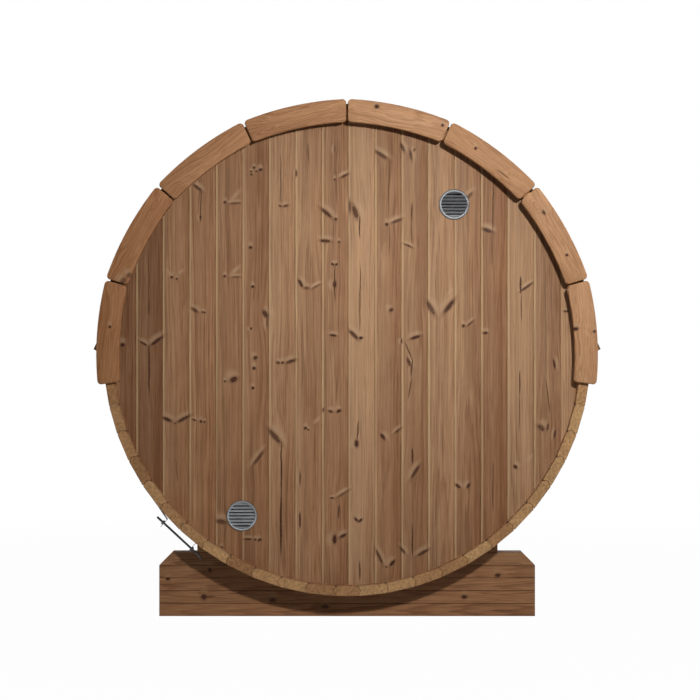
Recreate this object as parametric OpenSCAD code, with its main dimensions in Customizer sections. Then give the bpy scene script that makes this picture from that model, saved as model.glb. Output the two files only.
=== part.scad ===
// Barrel sauna: a lying barrel of coopered staves on two laminated cradles, closed by boarded end walls.
// Millimetres, +Z up, the barrel's axis along Y: the plain rear end looks to -Y, the door end to +Y.
// Left and right are as seen from behind the rear end, so left is -X.

/* [Barrel] */
// Length of the staves
stave_len = 2500; // [1800:10:3000]
// Distance from the barrel's axis to the outer faces of the staves
barrel_r = 995; // [940:5:1080]
// Thickness of the staves
stave_t = 41; // [36:1:48]
// Number of full staves on each side
side_staves = 26; // [24:1:28]
// Outer width of the starter stave at the bottom
starter_w = 94; // [80:1:110]
// Outer width of the closing stave at the crown
closer_w = 46; // [42:1:80]
// How far the bead on a stave's edge stands into the cove of the next stave
bead_h = 8; // [5:0.5:10]
// Land between the round of the bead and the faces of the stave
bead_land = 1.5; // [1:0.25:3]
// Eased arris along the outer faces of the staves
arris_out = 3; // [1:0.5:4]
// Eased arris along the inner faces of the staves
arris_in = 4; // [1:0.5:5]
// Height of the barrel's underside above the ground
barrel_lift = 104; // [80:1:140]
// Gap left where one piece seats on another
seat = 0.3; // [0.2:0.05:0.4]

/* [End walls] */
// Depth of the end walls behind the stave ends
recess = 45; // [30:1:70]
// Thickness of the end walls
wall_t = 40; // [28:1:45]
// Depth of the groove in the staves that holds an end wall
croze = 10; // [6:1:14]
// Cover width of an end-wall board
board_w = 109; // [100:1:118]
// Sideways shift of the rear wall's middle joint from the barrel's axis
board_shift = 4; // [0:1:6]
// Bevel along the edges of a board
board_bevel = 2.5; // [1:0.5:4]
// Length of a board's tongue
tongue_l = 9; // [6:1:12]
// Thickness of a board's tongue
tongue_t = 10; // [6:1:14]

/* [Vents] */
// Depth of the upper vent below the staves over it
upper_vent_drop = 238; // [180:0.5:320]
// Height of the lower vent above the staves under it
lower_vent_rise = 180; // [150:0.5:320]
// Boards between the middle joint and the joint that a vent sits on
vent_boards = 4; // [3:1:4]
// Outer diameter of a vent's flange
vent_d = 125; // [118:1:140]
// Inner diameter of a vent's sleeve
vent_bore = 108; // [90:1:110]
// Wall of a vent's sleeve
sleeve_t = 1.5; // [1:0.25:3]
// How far a vent's flange stands out of the wall
flange_h = 6; // [4:0.5:10]
// Eased edges of a vent's flange
flange_ease = 2; // [0.5:0.5:3]
// Number of louvre blades in a vent
blades = 8; // [5:1:8]
// Distance from one blade to the next
blade_pitch = 13.4; // [12:0.1:14]
// Width of a blade
blade_w = 10.5; // [9:0.5:14]
// Thickness of a blade
blade_t = 1.6; // [1:0.1:2.5]
// Slope of a blade
blade_tilt = 42; // [30:1:55]

/* [Door] */
// Boards taken out of the front wall for the doorway
door_boards = 6; // [4:2:6]
// Height of the wall over the doorway, at its middle
head_h = 154; // [144:2:254]
// Height of the wall under the doorway, at its middle
sill_h = 164; // [154:2:254]
// Width of the frame pieces
frame_w = 45; // [35:1:60]
// How far the door frame stands out of the wall
frame_proud = 12; // [8:1:20]
// Running gap around the door leaf
door_gap = 5; // [3:0.5:8]
// Thickness of the door leaf
leaf_t = 40; // [28:1:44]
// Number of boards in the door leaf
leaf_boards = 5; // [4:1:6]
// Thickness of the ledges across the back of the leaf
ledge_t = 25; // [20:1:35]
// Width of the ledges
ledge_w = 95; // [70:1:120]
// Distance of a ledge or hinge from the end of the leaf
ledge_inset = 190; // [150:5:260]
// Distance of a ledge's ends from the sides of the leaf
ledge_end = 30; // [20:1:60]
// Length of a hinge strap on the leaf
hinge_l = 300; // [200:10:360]
// Width of a hinge strap
hinge_w = 36; // [28:1:50]
// Width of a hinge strap at its rounded tip
hinge_tip = 20; // [14:1:26]
// Height of a hinge's plate on the frame
hinge_plate = 110; // [90:5:150]
// Width of a hinge's plate on the frame
plate_w = 30; // [20:1:40]
// Thickness of the hinges
hinge_t = 3; // [2:0.5:5]
// Diameter of a hinge's knuckle
knuckle_d = 11; // [9:0.5:14]
// Distance of the handle's middle from the side of the leaf
handle_inset = 62; // [50:1:90]
// Length of the handle
handle_l = 320; // [240:10:420]
// Width of the handle
handle_w = 32; // [24:1:40]
// Thickness of the handle's grip
handle_t = 24; // [20:1:30]
// Finger room behind the grip
handle_room = 30; // [28:1:34]

/* [End trim] */
// How far the trim ring stands out of the staves
trim_over = 30; // [20:1:45]
// Width of the trim blocks
trim_w = 94; // [88:1:104]
// Thickness of the trim blocks
trim_t = 28; // [20:1:40]
// Trim blocks on each side of an end
trim_blocks = 4; // [3:1:5]
// How far the trim runs on below the centre of its ring, in degrees
trim_drop = 8; // [2:0.5:14]
// Height of the trim ring's centre above the barrel's axis
trim_lift = 8; // [4:1:12]
// Gap between two trim blocks
trim_gap = 5; // [2:0.5:8]
// Corner radius of a trim block
trim_corner = 17; // [8:1:24]
// How much flatter than the ring a block's edges are at the middle
trim_flat = 3.5; // [0:0.5:6]

/* [Hoops] */
// Width of a hoop
hoop_w = 25; // [20:1:30]
// Thickness of a hoop
hoop_t = 2; // [1:0.25:2.5]
// Angle of the tensioner around the barrel, from +X over +Z
tension_a = 227.2; // [218:0.2:232]
// Staves that a hoop's upper end passes over without touching them
free_staves = 1; // [1:1:2]
// Height of a hoop's free upper end above the staves
free_lift = 11; // [8:0.5:16]
// Distance between the two turned-up ends of a hoop
tab_span = 150; // [120:5:180]
// Distance from the barrel's axis to the tips of the turned-up ends, less the barrel's radius
tab_h = 52; // [48:1:60]
// Height of the tension rod above the staves
rod_h = 33; // [30:1:38]
// Diameter of the tension rod
rod_d = 10; // [8:1:12]
// Length of the tension rod
rod_len = 250; // [210:5:290]
// How much further the tension rod stands out of its lower nut
rod_shift = 11; // [0:1:20]
// Play of the rod in the holes of the hoop
rod_play = 0.5; // [0.3:0.1:1]
// Width across the flats of a nut
nut_af = 17; // [15:0.5:19]
// Thickness of a nut
nut_h = 8; // [6:0.5:10]

/* [Roof] */
// Courses of roofing on each side
courses = 10; // [8:1:12]
// Thickness of the roofing
shingle_t = 6; // [4:0.5:8]
// Lap of a course over the one below
lap = 23; // [15:1:40]
// Half width of the capping along the crown
cap_w = 85; // [60:5:110]
// Height of the eaves batten's top edge above the barrel's axis
eaves_top = 95; // [70:5:120]
// Height of the eaves batten's nose above the barrel's axis
eaves_nose_z = 12; // [5:1:30]
// How far the eaves batten's nose stands out of the staves
eaves_nose = 37; // [25:1:45]
// Depth of the eaves batten's foot below the barrel's axis
eaves_foot = 10; // [5:1:25]
// Thickness of the flap over the eaves batten
flap_t = 4; // [3:0.5:6]

/* [Cradles] */
// Length of a cradle
cradle_l = 1567; // [1450:1:1650]
// Thickness of a cradle
cradle_t = 95; // [70:1:120]
// Distance of a cradle from the stave ends
cradle_inset = 165; // [120:5:400]
// Height of one lamination
lam_h = 53; // [45:1:60]
// Laminations that run the whole length
lams = 5; // [4:1:6]
// Width of the short top lamination's tips beside the barrel
horn_tip = 5; // [2:0.5:20]
// Chamfer at the top corners of a cradle
cradle_chamfer = 53; // [30:1:60]
// Depth of the grooves along the glue lines
glue_groove = 2; // [1:0.5:4]

/* [Hidden] */
$fn = 96;
// Sides of the large rounds
round_fn = 240;
// How far a cutter runs past the faces that it cuts
over = 1;

wood = "#8f6a4c";
trim_wood = "#ad8158";
cradle_wood = "#74523a";
steel = "#8d9094";
roofing = "#26272a";

// Barrel
axis_z = barrel_lift + barrel_r;
inner_r = barrel_r - stave_t;
mid_r = barrel_r - stave_t / 2;
bead_r = stave_t / 2 - bead_land;
starter_a = 2 * atan(starter_w / 2 / barrel_r);
closer_a = 2 * atan(closer_w / 2 / barrel_r);
stave_a = (360 - starter_a - closer_a) / (2 * side_staves);
third = ceil(side_staves / 3);
corner_r = norm([barrel_r * tan(stave_a / 2), barrel_r]);

// End walls, as placed at the rear
wall_y = recess - stave_len / 2;
croze_r = inner_r + croze;
wall_r = croze_r - seat;
vent_hole_r = vent_bore / 2 + sleeve_t + seat;
upper_vent_z = stave_height(vent_x(1)) - upper_vent_drop;
lower_vent_z = lower_vent_rise - stave_height(vent_x(-1));

// Door, as seen from outside at the rear place of the wall
door_x = door_boards / 2 * board_w;
door_top = inner_r - head_h;
door_low = inner_r - sill_h;
door_face = wall_y - frame_proud;
leaf_x = door_x - seat - frame_w - door_gap;
leaf_top = door_top - seat - frame_w - door_gap;
leaf_low = seat + frame_w + door_gap - door_low;

// Trim
trim_r = barrel_r + trim_over;
edge_steps = 12;
arc_steps = 5;

// Hoops: they bend at the stave joints, counted upwards from the starter stave
hoop_y = stave_len / 2 - recess - wall_t / 2;
hoop_r = (barrel_r + seat) / cos(stave_a / 2);
hoop_out_r = (barrel_r + seat + hoop_t) / cos(stave_a / 2);
rod_r = barrel_r + rod_h;
tab_r = barrel_r + tab_h;
tab_y = tab_span / 2;
tab_a = asin(tab_y / hoop_r);
first_joint_a = 270 - starter_a / 2;
low_joint = floor((first_joint_a - tension_a - tab_a) / stave_a);
free_joint = ceil((first_joint_a - tension_a + tab_a) / stave_a) + free_staves;

// Roof
roof_r = hoop_out_r + seat;
lap_a = lap / roof_r * 180 / PI;
eaves_a = asin(eaves_top / roof_r);
course_a = (90 - eaves_a) / courses;
course_span = course_a + lap_a;
course_rise = (shingle_t + seat) * course_span / course_a;
cap_a = cap_w / roof_r * 180 / PI;
crown_gap_a = seat / roof_r * 180 / PI;
nose = [barrel_r + eaves_nose, eaves_nose_z];

// Cradles
saddle_r = corner_r + seat;
full_h = lams * lam_h;
horn_x = sqrt(pow(saddle_r, 2) - pow(axis_z - full_h - lam_h, 2)) + horn_tip;

// Places a flat outline drawn about the barrel's axis between two stations along it
module along(y0, y1) {
    translate([0, y1, axis_z]) rotate([90, 0, 0]) linear_extrude(y1 - y0) children();
}

// Turns a piece of the rear end to the front end
module at_front() {
    rotate([0, 0, 180]) children();
}

function polar(r, a) = [r * cos(a), r * sin(a)];
function mix(a, b, s) = a + (b - a) * s;

// Height of the staves' inner face over the axis, at a distance to the side
function stave_height(x) = sqrt(pow(inner_r, 2) - pow(x, 2));

// Half width of a stave at a distance from the axis
function stave_half(y, a) = y * tan(a / 2) - seat / 2;

// Section of a stave: beads and coves list the edges that have one, -1 or 1
module stave_section(a, bead_sides, cove_sides) {
    bead_x = bead_r - bead_h;
    top = stave_half(barrel_r, a) - arris_out;
    shoulder = stave_half(barrel_r - arris_out, a);
    heel = stave_half(inner_r + arris_in, a);
    low = stave_half(inner_r, a) - arris_in;
    difference() {
        union() {
            polygon([
                [-top, barrel_r], [-shoulder, barrel_r - arris_out], [-heel, inner_r + arris_in],
                [-low, inner_r], [low, inner_r], [heel, inner_r + arris_in],
                [shoulder, barrel_r - arris_out], [top, barrel_r]
            ]);
            for (s = bead_sides) rotate(-s * a / 2) translate([-s * bead_x, mid_r]) circle(bead_r);
        }
        for (s = cove_sides) rotate(-s * a / 2) translate([s * bead_x, mid_r]) circle(bead_r + seat);
    }
}

// One stave, grooved near both ends for the end walls
module stave(centre_a, a, bead_sides, cove_sides) {
    difference() {
        along(-stave_len / 2, stave_len / 2)
            rotate(centre_a - 90) stave_section(a, bead_sides, cove_sides);
        along(wall_y - seat, wall_y + wall_t + seat) circle(croze_r, $fn = round_fn);
        along(-wall_y - wall_t - seat, -wall_y + seat) circle(croze_r, $fn = round_fn);
    }
}

// Full staves of the right side, counted from the starter stave upwards
module side_run(first, last) {
    color(wood)
    for (k = [first : last])
        stave(starter_a / 2 + (k + 0.5) * stave_a - 90, stave_a, [-1], [1]);
}

module bottom_stave() color(wood) stave(270, starter_a, [-1, 1], []);
module crown_stave() color(wood) stave(90, closer_a, [], [-1, 1]);
module lower_staves() side_run(0, third - 1);
module middle_staves() side_run(third, 2 * third - 1);
module upper_staves() side_run(2 * third, side_staves - 1);

// Section of a tongued and grooved board, its face towards -Y
module board_section(w, t) {
    l = seat / 2;
    r = w - seat / 2;
    v = board_bevel;
    t0 = (t - tongue_t) / 2;
    t1 = (t + tongue_t) / 2;
    polygon([
        [l + v, 0], [r - v, 0], [r, v],
        [r, t0], [r + tongue_l, t0], [r + tongue_l, t1], [r, t1],
        [r, t - v], [r - v, t], [l + v, t], [l, t - v],
        [l, t1 + seat], [l + tongue_l, t1 + seat], [l + tongue_l, t0 - seat], [l, t0 - seat],
        [l, v]
    ]);
}

// Runs a flat outline right through the rear wall
module through_wall() {
    along(wall_y - over, wall_y + wall_t + over) children();
}

// End-wall boards first to last, cut to the round of the croze between two heights
module wall_boards(first, last, shift, z0, z1) {
    for (k = [first : last])
        intersection() {
            translate([k * board_w + shift, wall_y, axis_z + z0])
                linear_extrude(z1 - z0) board_section(board_w, wall_t);
            through_wall() circle(wall_r, $fn = round_fn);
        }
}

function first_board(shift) = floor((-wall_r - shift) / board_w);
function last_board(shift) = ceil((wall_r - shift) / board_w) - 1;
function vent_x(side) = board_shift + side * vent_boards * board_w;

module vent_hole(side, z) {
    through_wall() translate([vent_x(side), z]) circle(vent_hole_r);
}

module rear_wall() {
    color(wood)
    difference() {
        wall_boards(first_board(board_shift), last_board(board_shift), board_shift, -wall_r, wall_r);
        vent_hole(1, upper_vent_z);
        vent_hole(-1, lower_vent_z);
    }
}

module doorway() {
    through_wall() translate([-door_x, -door_low]) square([2 * door_x, door_low + door_top]);
}

module front_boards(first, last) {
    color(wood) at_front()
    difference() {
        wall_boards(first, last, 0, -wall_r, wall_r);
        doorway();
    }
}

module front_wall_left() front_boards(door_boards / 2, last_board(0));
module front_wall_right() front_boards(first_board(0), -door_boards / 2 - 1);

module front_wall_head() {
    color(wood) at_front() wall_boards(-door_boards / 2, door_boards / 2 - 1, 0, door_top, wall_r);
}

module front_wall_sill() {
    color(wood) at_front() wall_boards(-door_boards / 2, door_boards / 2 - 1, 0, -wall_r, -door_low);
}

// Round vent with a sleeve through the wall, a flange and sloping blades
module vent(side, z, tilt) {
    bore_r = vent_bore / 2;
    sleeve_r = bore_r + sleeve_t;
    flange_r = vent_d / 2;
    back = 2 * seat - wall_t;
    color(steel)
    translate([vent_x(side), wall_y - seat, axis_z + z]) rotate([90, 0, 0]) {
        rotate_extrude()
            polygon([
                [bore_r, back], [sleeve_r, back], [sleeve_r, 0], [flange_r, 0],
                [flange_r, flange_h - flange_ease], [flange_r - flange_ease, flange_h],
                [bore_r + flange_ease, flange_h], [bore_r, flange_h - flange_ease]
            ]);
        intersection() {
            for (k = [0 : blades - 1])
                translate([0, (k - (blades - 1) / 2) * blade_pitch, 0])
                    rotate([tilt, 0, 0]) cube([vent_d, blade_w, blade_t], center = true);
            translate([0, 0, -blade_w]) cylinder(r = bore_r + sleeve_t / 2, h = 2 * blade_w);
        }
    }
}

// The upper vent lets air out and has its blades turned up, the lower one keeps the rain out
module upper_vent() vent(1, upper_vent_z, blade_tilt);
module lower_vent() vent(-1, lower_vent_z, -blade_tilt);

// Frame lining the doorway: two posts, a head and a sill between them
module door_frame() {
    post_x = door_x - seat - frame_w;
    rail_l = 2 * (post_x - seat);
    color(trim_wood) at_front() along(door_face, wall_y + wall_t) {
        for (x = [-door_x + seat, post_x])
            translate([x, seat - door_low]) square([frame_w, door_low + door_top - 2 * seat]);
        for (z = [seat - door_low, door_top - seat - frame_w])
            translate([-rail_l / 2, z]) square([rail_l, frame_w]);
    }
}

module door_leaf() {
    w = 2 * leaf_x / leaf_boards;
    color(wood) at_front()
    for (k = [0 : leaf_boards - 1])
        intersection() {
            translate([k * w - leaf_x, door_face, axis_z + leaf_low])
                linear_extrude(leaf_top - leaf_low) board_section(w, leaf_t);
            along(door_face - over, door_face + leaf_t + over)
                translate([-leaf_x, leaf_low]) square([2 * leaf_x, leaf_top - leaf_low]);
        }
}

// Heights of the two ledges and hinges
function ledge_heights() = [leaf_low + ledge_inset, leaf_top - ledge_inset];

module door_ledges() {
    back = door_face + leaf_t + seat;
    color(wood) at_front() along(back, back + ledge_t)
        for (z = ledge_heights())
            translate([0, z]) square([2 * (leaf_x - ledge_end), ledge_w], center = true);
}

// Strap of a hinge, tapered from the knuckle to a rounded tip
module hinge_strap() {
    tip_r = hinge_tip / 2;
    tip_x = tip_r - hinge_l;
    polygon([[0, -hinge_w / 2], [0, hinge_w / 2], [tip_x, tip_r], [tip_x, -tip_r]]);
    translate([tip_x, 0]) circle(tip_r);
}

module door_hinges() {
    knuckle_x = leaf_x + door_gap / 2;
    front = door_face - seat;
    color(steel) at_front()
    for (z = ledge_heights()) {
        along(front - hinge_t, front) {
            translate([knuckle_x, z]) hinge_strap();
            translate([knuckle_x, z - hinge_plate / 2]) square([plate_w, hinge_plate]);
        }
        translate([knuckle_x, front - knuckle_d / 2, axis_z + z - hinge_plate / 2])
            cylinder(d = knuckle_d, h = hinge_plate);
    }
}

module door_handle() {
    face = door_face - seat;
    handle_x = handle_inset - leaf_x;
    color(trim_wood) at_front() {
        along(face - handle_room - handle_t, face - handle_room)
            translate([handle_x, 0]) square([handle_w, handle_l], center = true);
        along(face - handle_room - over, face)
            for (s = [-1, 1])
                translate([handle_x, s * (handle_l - handle_w) / 2]) square(handle_w, center = true);
    }
}

// Outline of a trim block that starts at angle a0 of the trim ring
function trim_arc(r0, a0, a1, steps) = [
    for (i = [0 : steps])
        let (s = i / steps) polar(r0 - trim_flat * 4 * s * (1 - s), mix(a0, a1, s))
];
function corner_arc(c, from, to) = [
    for (i = [1 : arc_steps]) c + polar(trim_corner, mix(from, to, i / (arc_steps + 1)))
];
function corner_off(r) = asin((trim_corner + trim_gap / 2) / r);

module trim_outline(a0, a1) {
    outer = trim_r - trim_corner;
    inner = trim_r - trim_w + trim_corner;
    o = corner_off(outer);
    i = corner_off(inner);
    polygon(concat(
        trim_arc(trim_r, a0 + o, a1 - o, edge_steps),
        corner_arc(polar(outer, a1 - o), a1 - o, a1 + 90),
        corner_arc(polar(inner, a1 - i), a1 + 90, a1 - i + 180),
        trim_arc(trim_r - trim_w, a1 - i, a0 + i, edge_steps),
        corner_arc(polar(inner, a0 + i), a0 + i + 180, a0 + 270),
        corner_arc(polar(outer, a0 + o), a0 - 90, a0 + o)
    ));
}

// Trim block of the right side of the rear end, counted upwards from 1
module trim_block(k) {
    pitch = (90 + trim_drop) / trim_blocks;
    a0 = (k - 1) * pitch - trim_drop;
    color(trim_wood)
    along(-stave_len / 2 - seat - trim_t, -stave_len / 2 - seat)
        translate([0, trim_lift]) trim_outline(a0, a0 + pitch);
}

module rear_trim_right(k) trim_block(k);
module rear_trim_left(k) mirror([1, 0, 0]) trim_block(k);
module front_trim_left() at_front() for (k = [1 : trim_blocks]) trim_block(k);
module front_trim_right() mirror([1, 0, 0]) front_trim_left();

function left_joint(k) = first_joint_a - k * stave_a;
function right_joint(k) = starter_a / 2 + k * stave_a - 90;

// Angles of the stave joints that a hoop bends at, from its lower turned-up end round to its free end
hoop_bends = concat(
    [for (k = [low_joint : -1 : 0]) left_joint(k)],
    [for (k = [0 : side_staves]) right_joint(k)],
    [for (k = [side_staves : -1 : free_joint]) left_joint(k)]
);

// Outline of a hoop about the barrel's axis, with the tensioner at +X and both ends turned up
module hoop_outline() {
    foot = sqrt(pow(hoop_r, 2) - pow(tab_y, 2));
    free = barrel_r + free_lift;
    polygon(concat(
        [[tab_r, tab_y], [foot, tab_y]],
        [for (a = hoop_bends) polar(hoop_r, a - tension_a)],
        [[free, -tab_y], [tab_r, -tab_y], [tab_r, -tab_y - hoop_t], [free + hoop_t, -tab_y - hoop_t]],
        [for (k = [len(hoop_bends) - 1 : -1 : 0]) polar(hoop_out_r, hoop_bends[k] - tension_a)],
        [[foot + hoop_t, tab_y + hoop_t], [tab_r, tab_y + hoop_t]]
    ));
}

// Frame of the tension rod of a hoop: its X points away from the barrel, its Z along the rod
module at_rod(y) {
    translate([0, y, axis_z]) rotate([0, -tension_a, 0]) translate([rod_r, 0, 0]) children();
}

module hoop(y) {
    color(steel)
    difference() {
        along(y - hoop_w / 2, y + hoop_w / 2) rotate(tension_a) hoop_outline();
        at_rod(y) cylinder(d = rod_d + 2 * rod_play, h = rod_len, center = true);
    }
}

module hoop_rod(y) {
    color(steel) at_rod(y) translate([0, 0, rod_shift]) cylinder(d = rod_d, h = rod_len, center = true);
}

module hoop_nuts(y) {
    color(steel) at_rod(y)
    for (s = [-1, 1])
        translate([0, 0, s * (tab_y + hoop_t + seat + nut_h / 2)])
            difference() {
                cylinder(d = nut_af / cos(30), h = nut_h, center = true, $fn = 6);
                cylinder(d = rod_d + seat, h = nut_h + over, center = true);
            }
}

module rear_hoop() hoop(-hoop_y);
module rear_hoop_rod() hoop_rod(-hoop_y);
module rear_hoop_nuts() hoop_nuts(-hoop_y);
module front_hoop() hoop(hoop_y);
module front_hoop_rod() hoop_rod(hoop_y);
module front_hoop_nuts() hoop_nuts(hoop_y);

// Points of a bent strip of roofing, its inner face going from radius r0 at a0 to r1 at a1
function strip(r0, a0, r1, a1, t) = concat(
    [for (i = [0 : arc_steps]) polar(mix(r0, r1, i / arc_steps), mix(a0, a1, i / arc_steps))],
    [for (i = [arc_steps : -1 : 0]) polar(mix(r0, r1, i / arc_steps) + t, mix(a0, a1, i / arc_steps))]
);

// Inner radius of a course at an angle above its lower edge
function course_r(a) = roof_r + course_rise * (1 - a / course_span);

// Right side of the roof: the flap over the eaves batten and the lapped courses
module roof_side() {
    slope = polar(roof_r, eaves_a) - nose;
    out = [slope.y, -slope.x] / norm(slope);
    under = roof_r + seat;
    color(roofing)
    along(-stave_len / 2, stave_len / 2) {
        polygon([
            nose + out * seat, polar(under, eaves_a), polar(under, eaves_a + lap_a),
            polar(under + flap_t, eaves_a + lap_a), polar(under + flap_t, eaves_a),
            nose + out * (seat + flap_t)
        ]);
        for (k = [0 : courses - 1]) {
            a0 = eaves_a + k * course_a;
            a1 = min(a0 + course_span, 90 - crown_gap_a);
            polygon(strip(course_r(0), a0, course_r(a1 - a0), a1, shingle_t));
        }
    }
}

module roof_right() roof_side();
module roof_left() mirror([1, 0, 0]) roof_side();

module roof_cap() {
    r = course_r(course_a - cap_a) + shingle_t + seat;
    color(roofing)
    along(-stave_len / 2, stave_len / 2) polygon(strip(r, 90 - cap_a, r, 90 + cap_a, shingle_t));
}

// Wedge under the lower edge of the roofing
module eaves_batten_right() {
    color(wood)
    along(-stave_len / 2, stave_len / 2)
        difference() {
            polygon([
                polar(roof_r, eaves_a), [inner_r, eaves_top], [inner_r, -eaves_foot],
                [roof_r, -eaves_foot], nose
            ]);
            circle(roof_r, $fn = round_fn);
        }
}

module eaves_batten_left() mirror([1, 0, 0]) eaves_batten_right();

// Cradle of glued laminations, hollowed to the barrel
module cradle(y0) {
    half = cradle_l / 2;
    groove = glue_groove * sqrt(2);
    color(cradle_wood)
    difference() {
        along(y0, y0 + cradle_t)
            difference() {
                translate([0, -axis_z]) polygon([
                    [-half, 0], [half, 0], [half, full_h - cradle_chamfer], [half - cradle_chamfer, full_h],
                    [horn_x, full_h], [horn_x, full_h + lam_h], [-horn_x, full_h + lam_h], [-horn_x, full_h],
                    [cradle_chamfer - half, full_h], [-half, full_h - cradle_chamfer]
                ]);
                circle(saddle_r, $fn = round_fn);
            }
        for (k = [1 : lams], y = [y0, y0 + cradle_t])
            translate([0, y, k * lam_h]) rotate([45, 0, 0])
                cube([cradle_l + over, groove, groove], center = true);
    }
}

module rear_cradle() cradle(cradle_inset - stave_len / 2);
module front_cradle() cradle(stave_len / 2 - cradle_inset - cradle_t);

bottom_stave();
mirror([1, 0, 0]) lower_staves();  // left_lower_staves
mirror([1, 0, 0]) middle_staves();  // left_middle_staves
mirror([1, 0, 0]) upper_staves();  // left_upper_staves
lower_staves();  // right_lower_staves
middle_staves();  // right_middle_staves
upper_staves();  // right_upper_staves
crown_stave();
rear_wall();
front_wall_left();
front_wall_right();
front_wall_head();
front_wall_sill();
upper_vent();
lower_vent();
door_frame();
door_leaf();
door_ledges();
door_hinges();
door_handle();
rear_trim_left(1);  // rear_trim_left_1
rear_trim_left(2);  // rear_trim_left_2
rear_trim_left(3);  // rear_trim_left_3
rear_trim_left(4);  // rear_trim_left_4
rear_trim_right(1);  // rear_trim_right_1
rear_trim_right(2);  // rear_trim_right_2
rear_trim_right(3);  // rear_trim_right_3
rear_trim_right(4);  // rear_trim_right_4
front_trim_left();
front_trim_right();
rear_hoop();
rear_hoop_rod();
rear_hoop_nuts();
front_hoop();
front_hoop_rod();
front_hoop_nuts();
roof_left();
roof_right();
roof_cap();
eaves_batten_left();
eaves_batten_right();
rear_cradle();
front_cradle();
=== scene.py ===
"""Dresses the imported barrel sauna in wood, steel and roofing, under plain studio light.

Metres, in the frame of the CAD model: +Z up, the barrel's axis along Y, the plain rear end towards -Y.
"""

import logging
import math
import random
from dataclasses import dataclass, replace
from enum import Enum
from typing import Any, Callable, Iterable

import bmesh
import bpy
import numpy as np
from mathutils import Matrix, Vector


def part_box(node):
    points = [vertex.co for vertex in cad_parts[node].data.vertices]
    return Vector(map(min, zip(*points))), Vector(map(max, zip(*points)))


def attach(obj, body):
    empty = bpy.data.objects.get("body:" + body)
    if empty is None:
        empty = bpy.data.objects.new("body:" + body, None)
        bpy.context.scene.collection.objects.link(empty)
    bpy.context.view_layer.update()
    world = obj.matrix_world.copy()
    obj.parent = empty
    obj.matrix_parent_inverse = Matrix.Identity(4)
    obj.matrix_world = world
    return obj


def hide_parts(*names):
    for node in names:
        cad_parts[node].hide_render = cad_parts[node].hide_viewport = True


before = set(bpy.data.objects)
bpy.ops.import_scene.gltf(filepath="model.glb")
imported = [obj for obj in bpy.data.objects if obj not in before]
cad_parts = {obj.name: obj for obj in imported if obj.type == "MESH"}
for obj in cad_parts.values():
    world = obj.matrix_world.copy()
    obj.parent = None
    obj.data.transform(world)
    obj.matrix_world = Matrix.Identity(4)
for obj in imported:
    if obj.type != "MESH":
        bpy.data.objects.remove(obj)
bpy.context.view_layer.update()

MM = 0.001
log = logging.getLogger("barrel_sauna")

# Corners this near are merged, faces at less than this angle are one, and edges over that angle are sharp
MERGE = 1e-5
FLAT = math.radians(0.4)
SHARP = math.radians(32)

Colour = tuple[float, float, float, float]
Triple = tuple[float, float, float]
Pair = tuple[float, float]
EdgeTest = Callable[[bmesh.types.BMEdge], bool]

# Roughness of every noise, a length that is out of reach of any mark, and how long for its breadth a crack is
NOISE_ROUGHNESS = 0.55
FAR = 9.0
CRACK_RATIO = 7


def tint(code: str) -> Colour:
    """Gives the linear colour of a hexadecimal sRGB code.

    Args:
        code: Six hexadecimal digits, red first.

    Returns:
        Red, green, blue and an alpha of 1.
    """
    parts = [int(code[i:i + 2], 16) / 255 for i in (0, 2, 4)]
    red, green, blue = (p / 12.92 if p <= 0.04045 else ((p + 0.055) / 1.055) ** 2.4 for p in parts)
    return red, green, blue, 1.0


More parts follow.
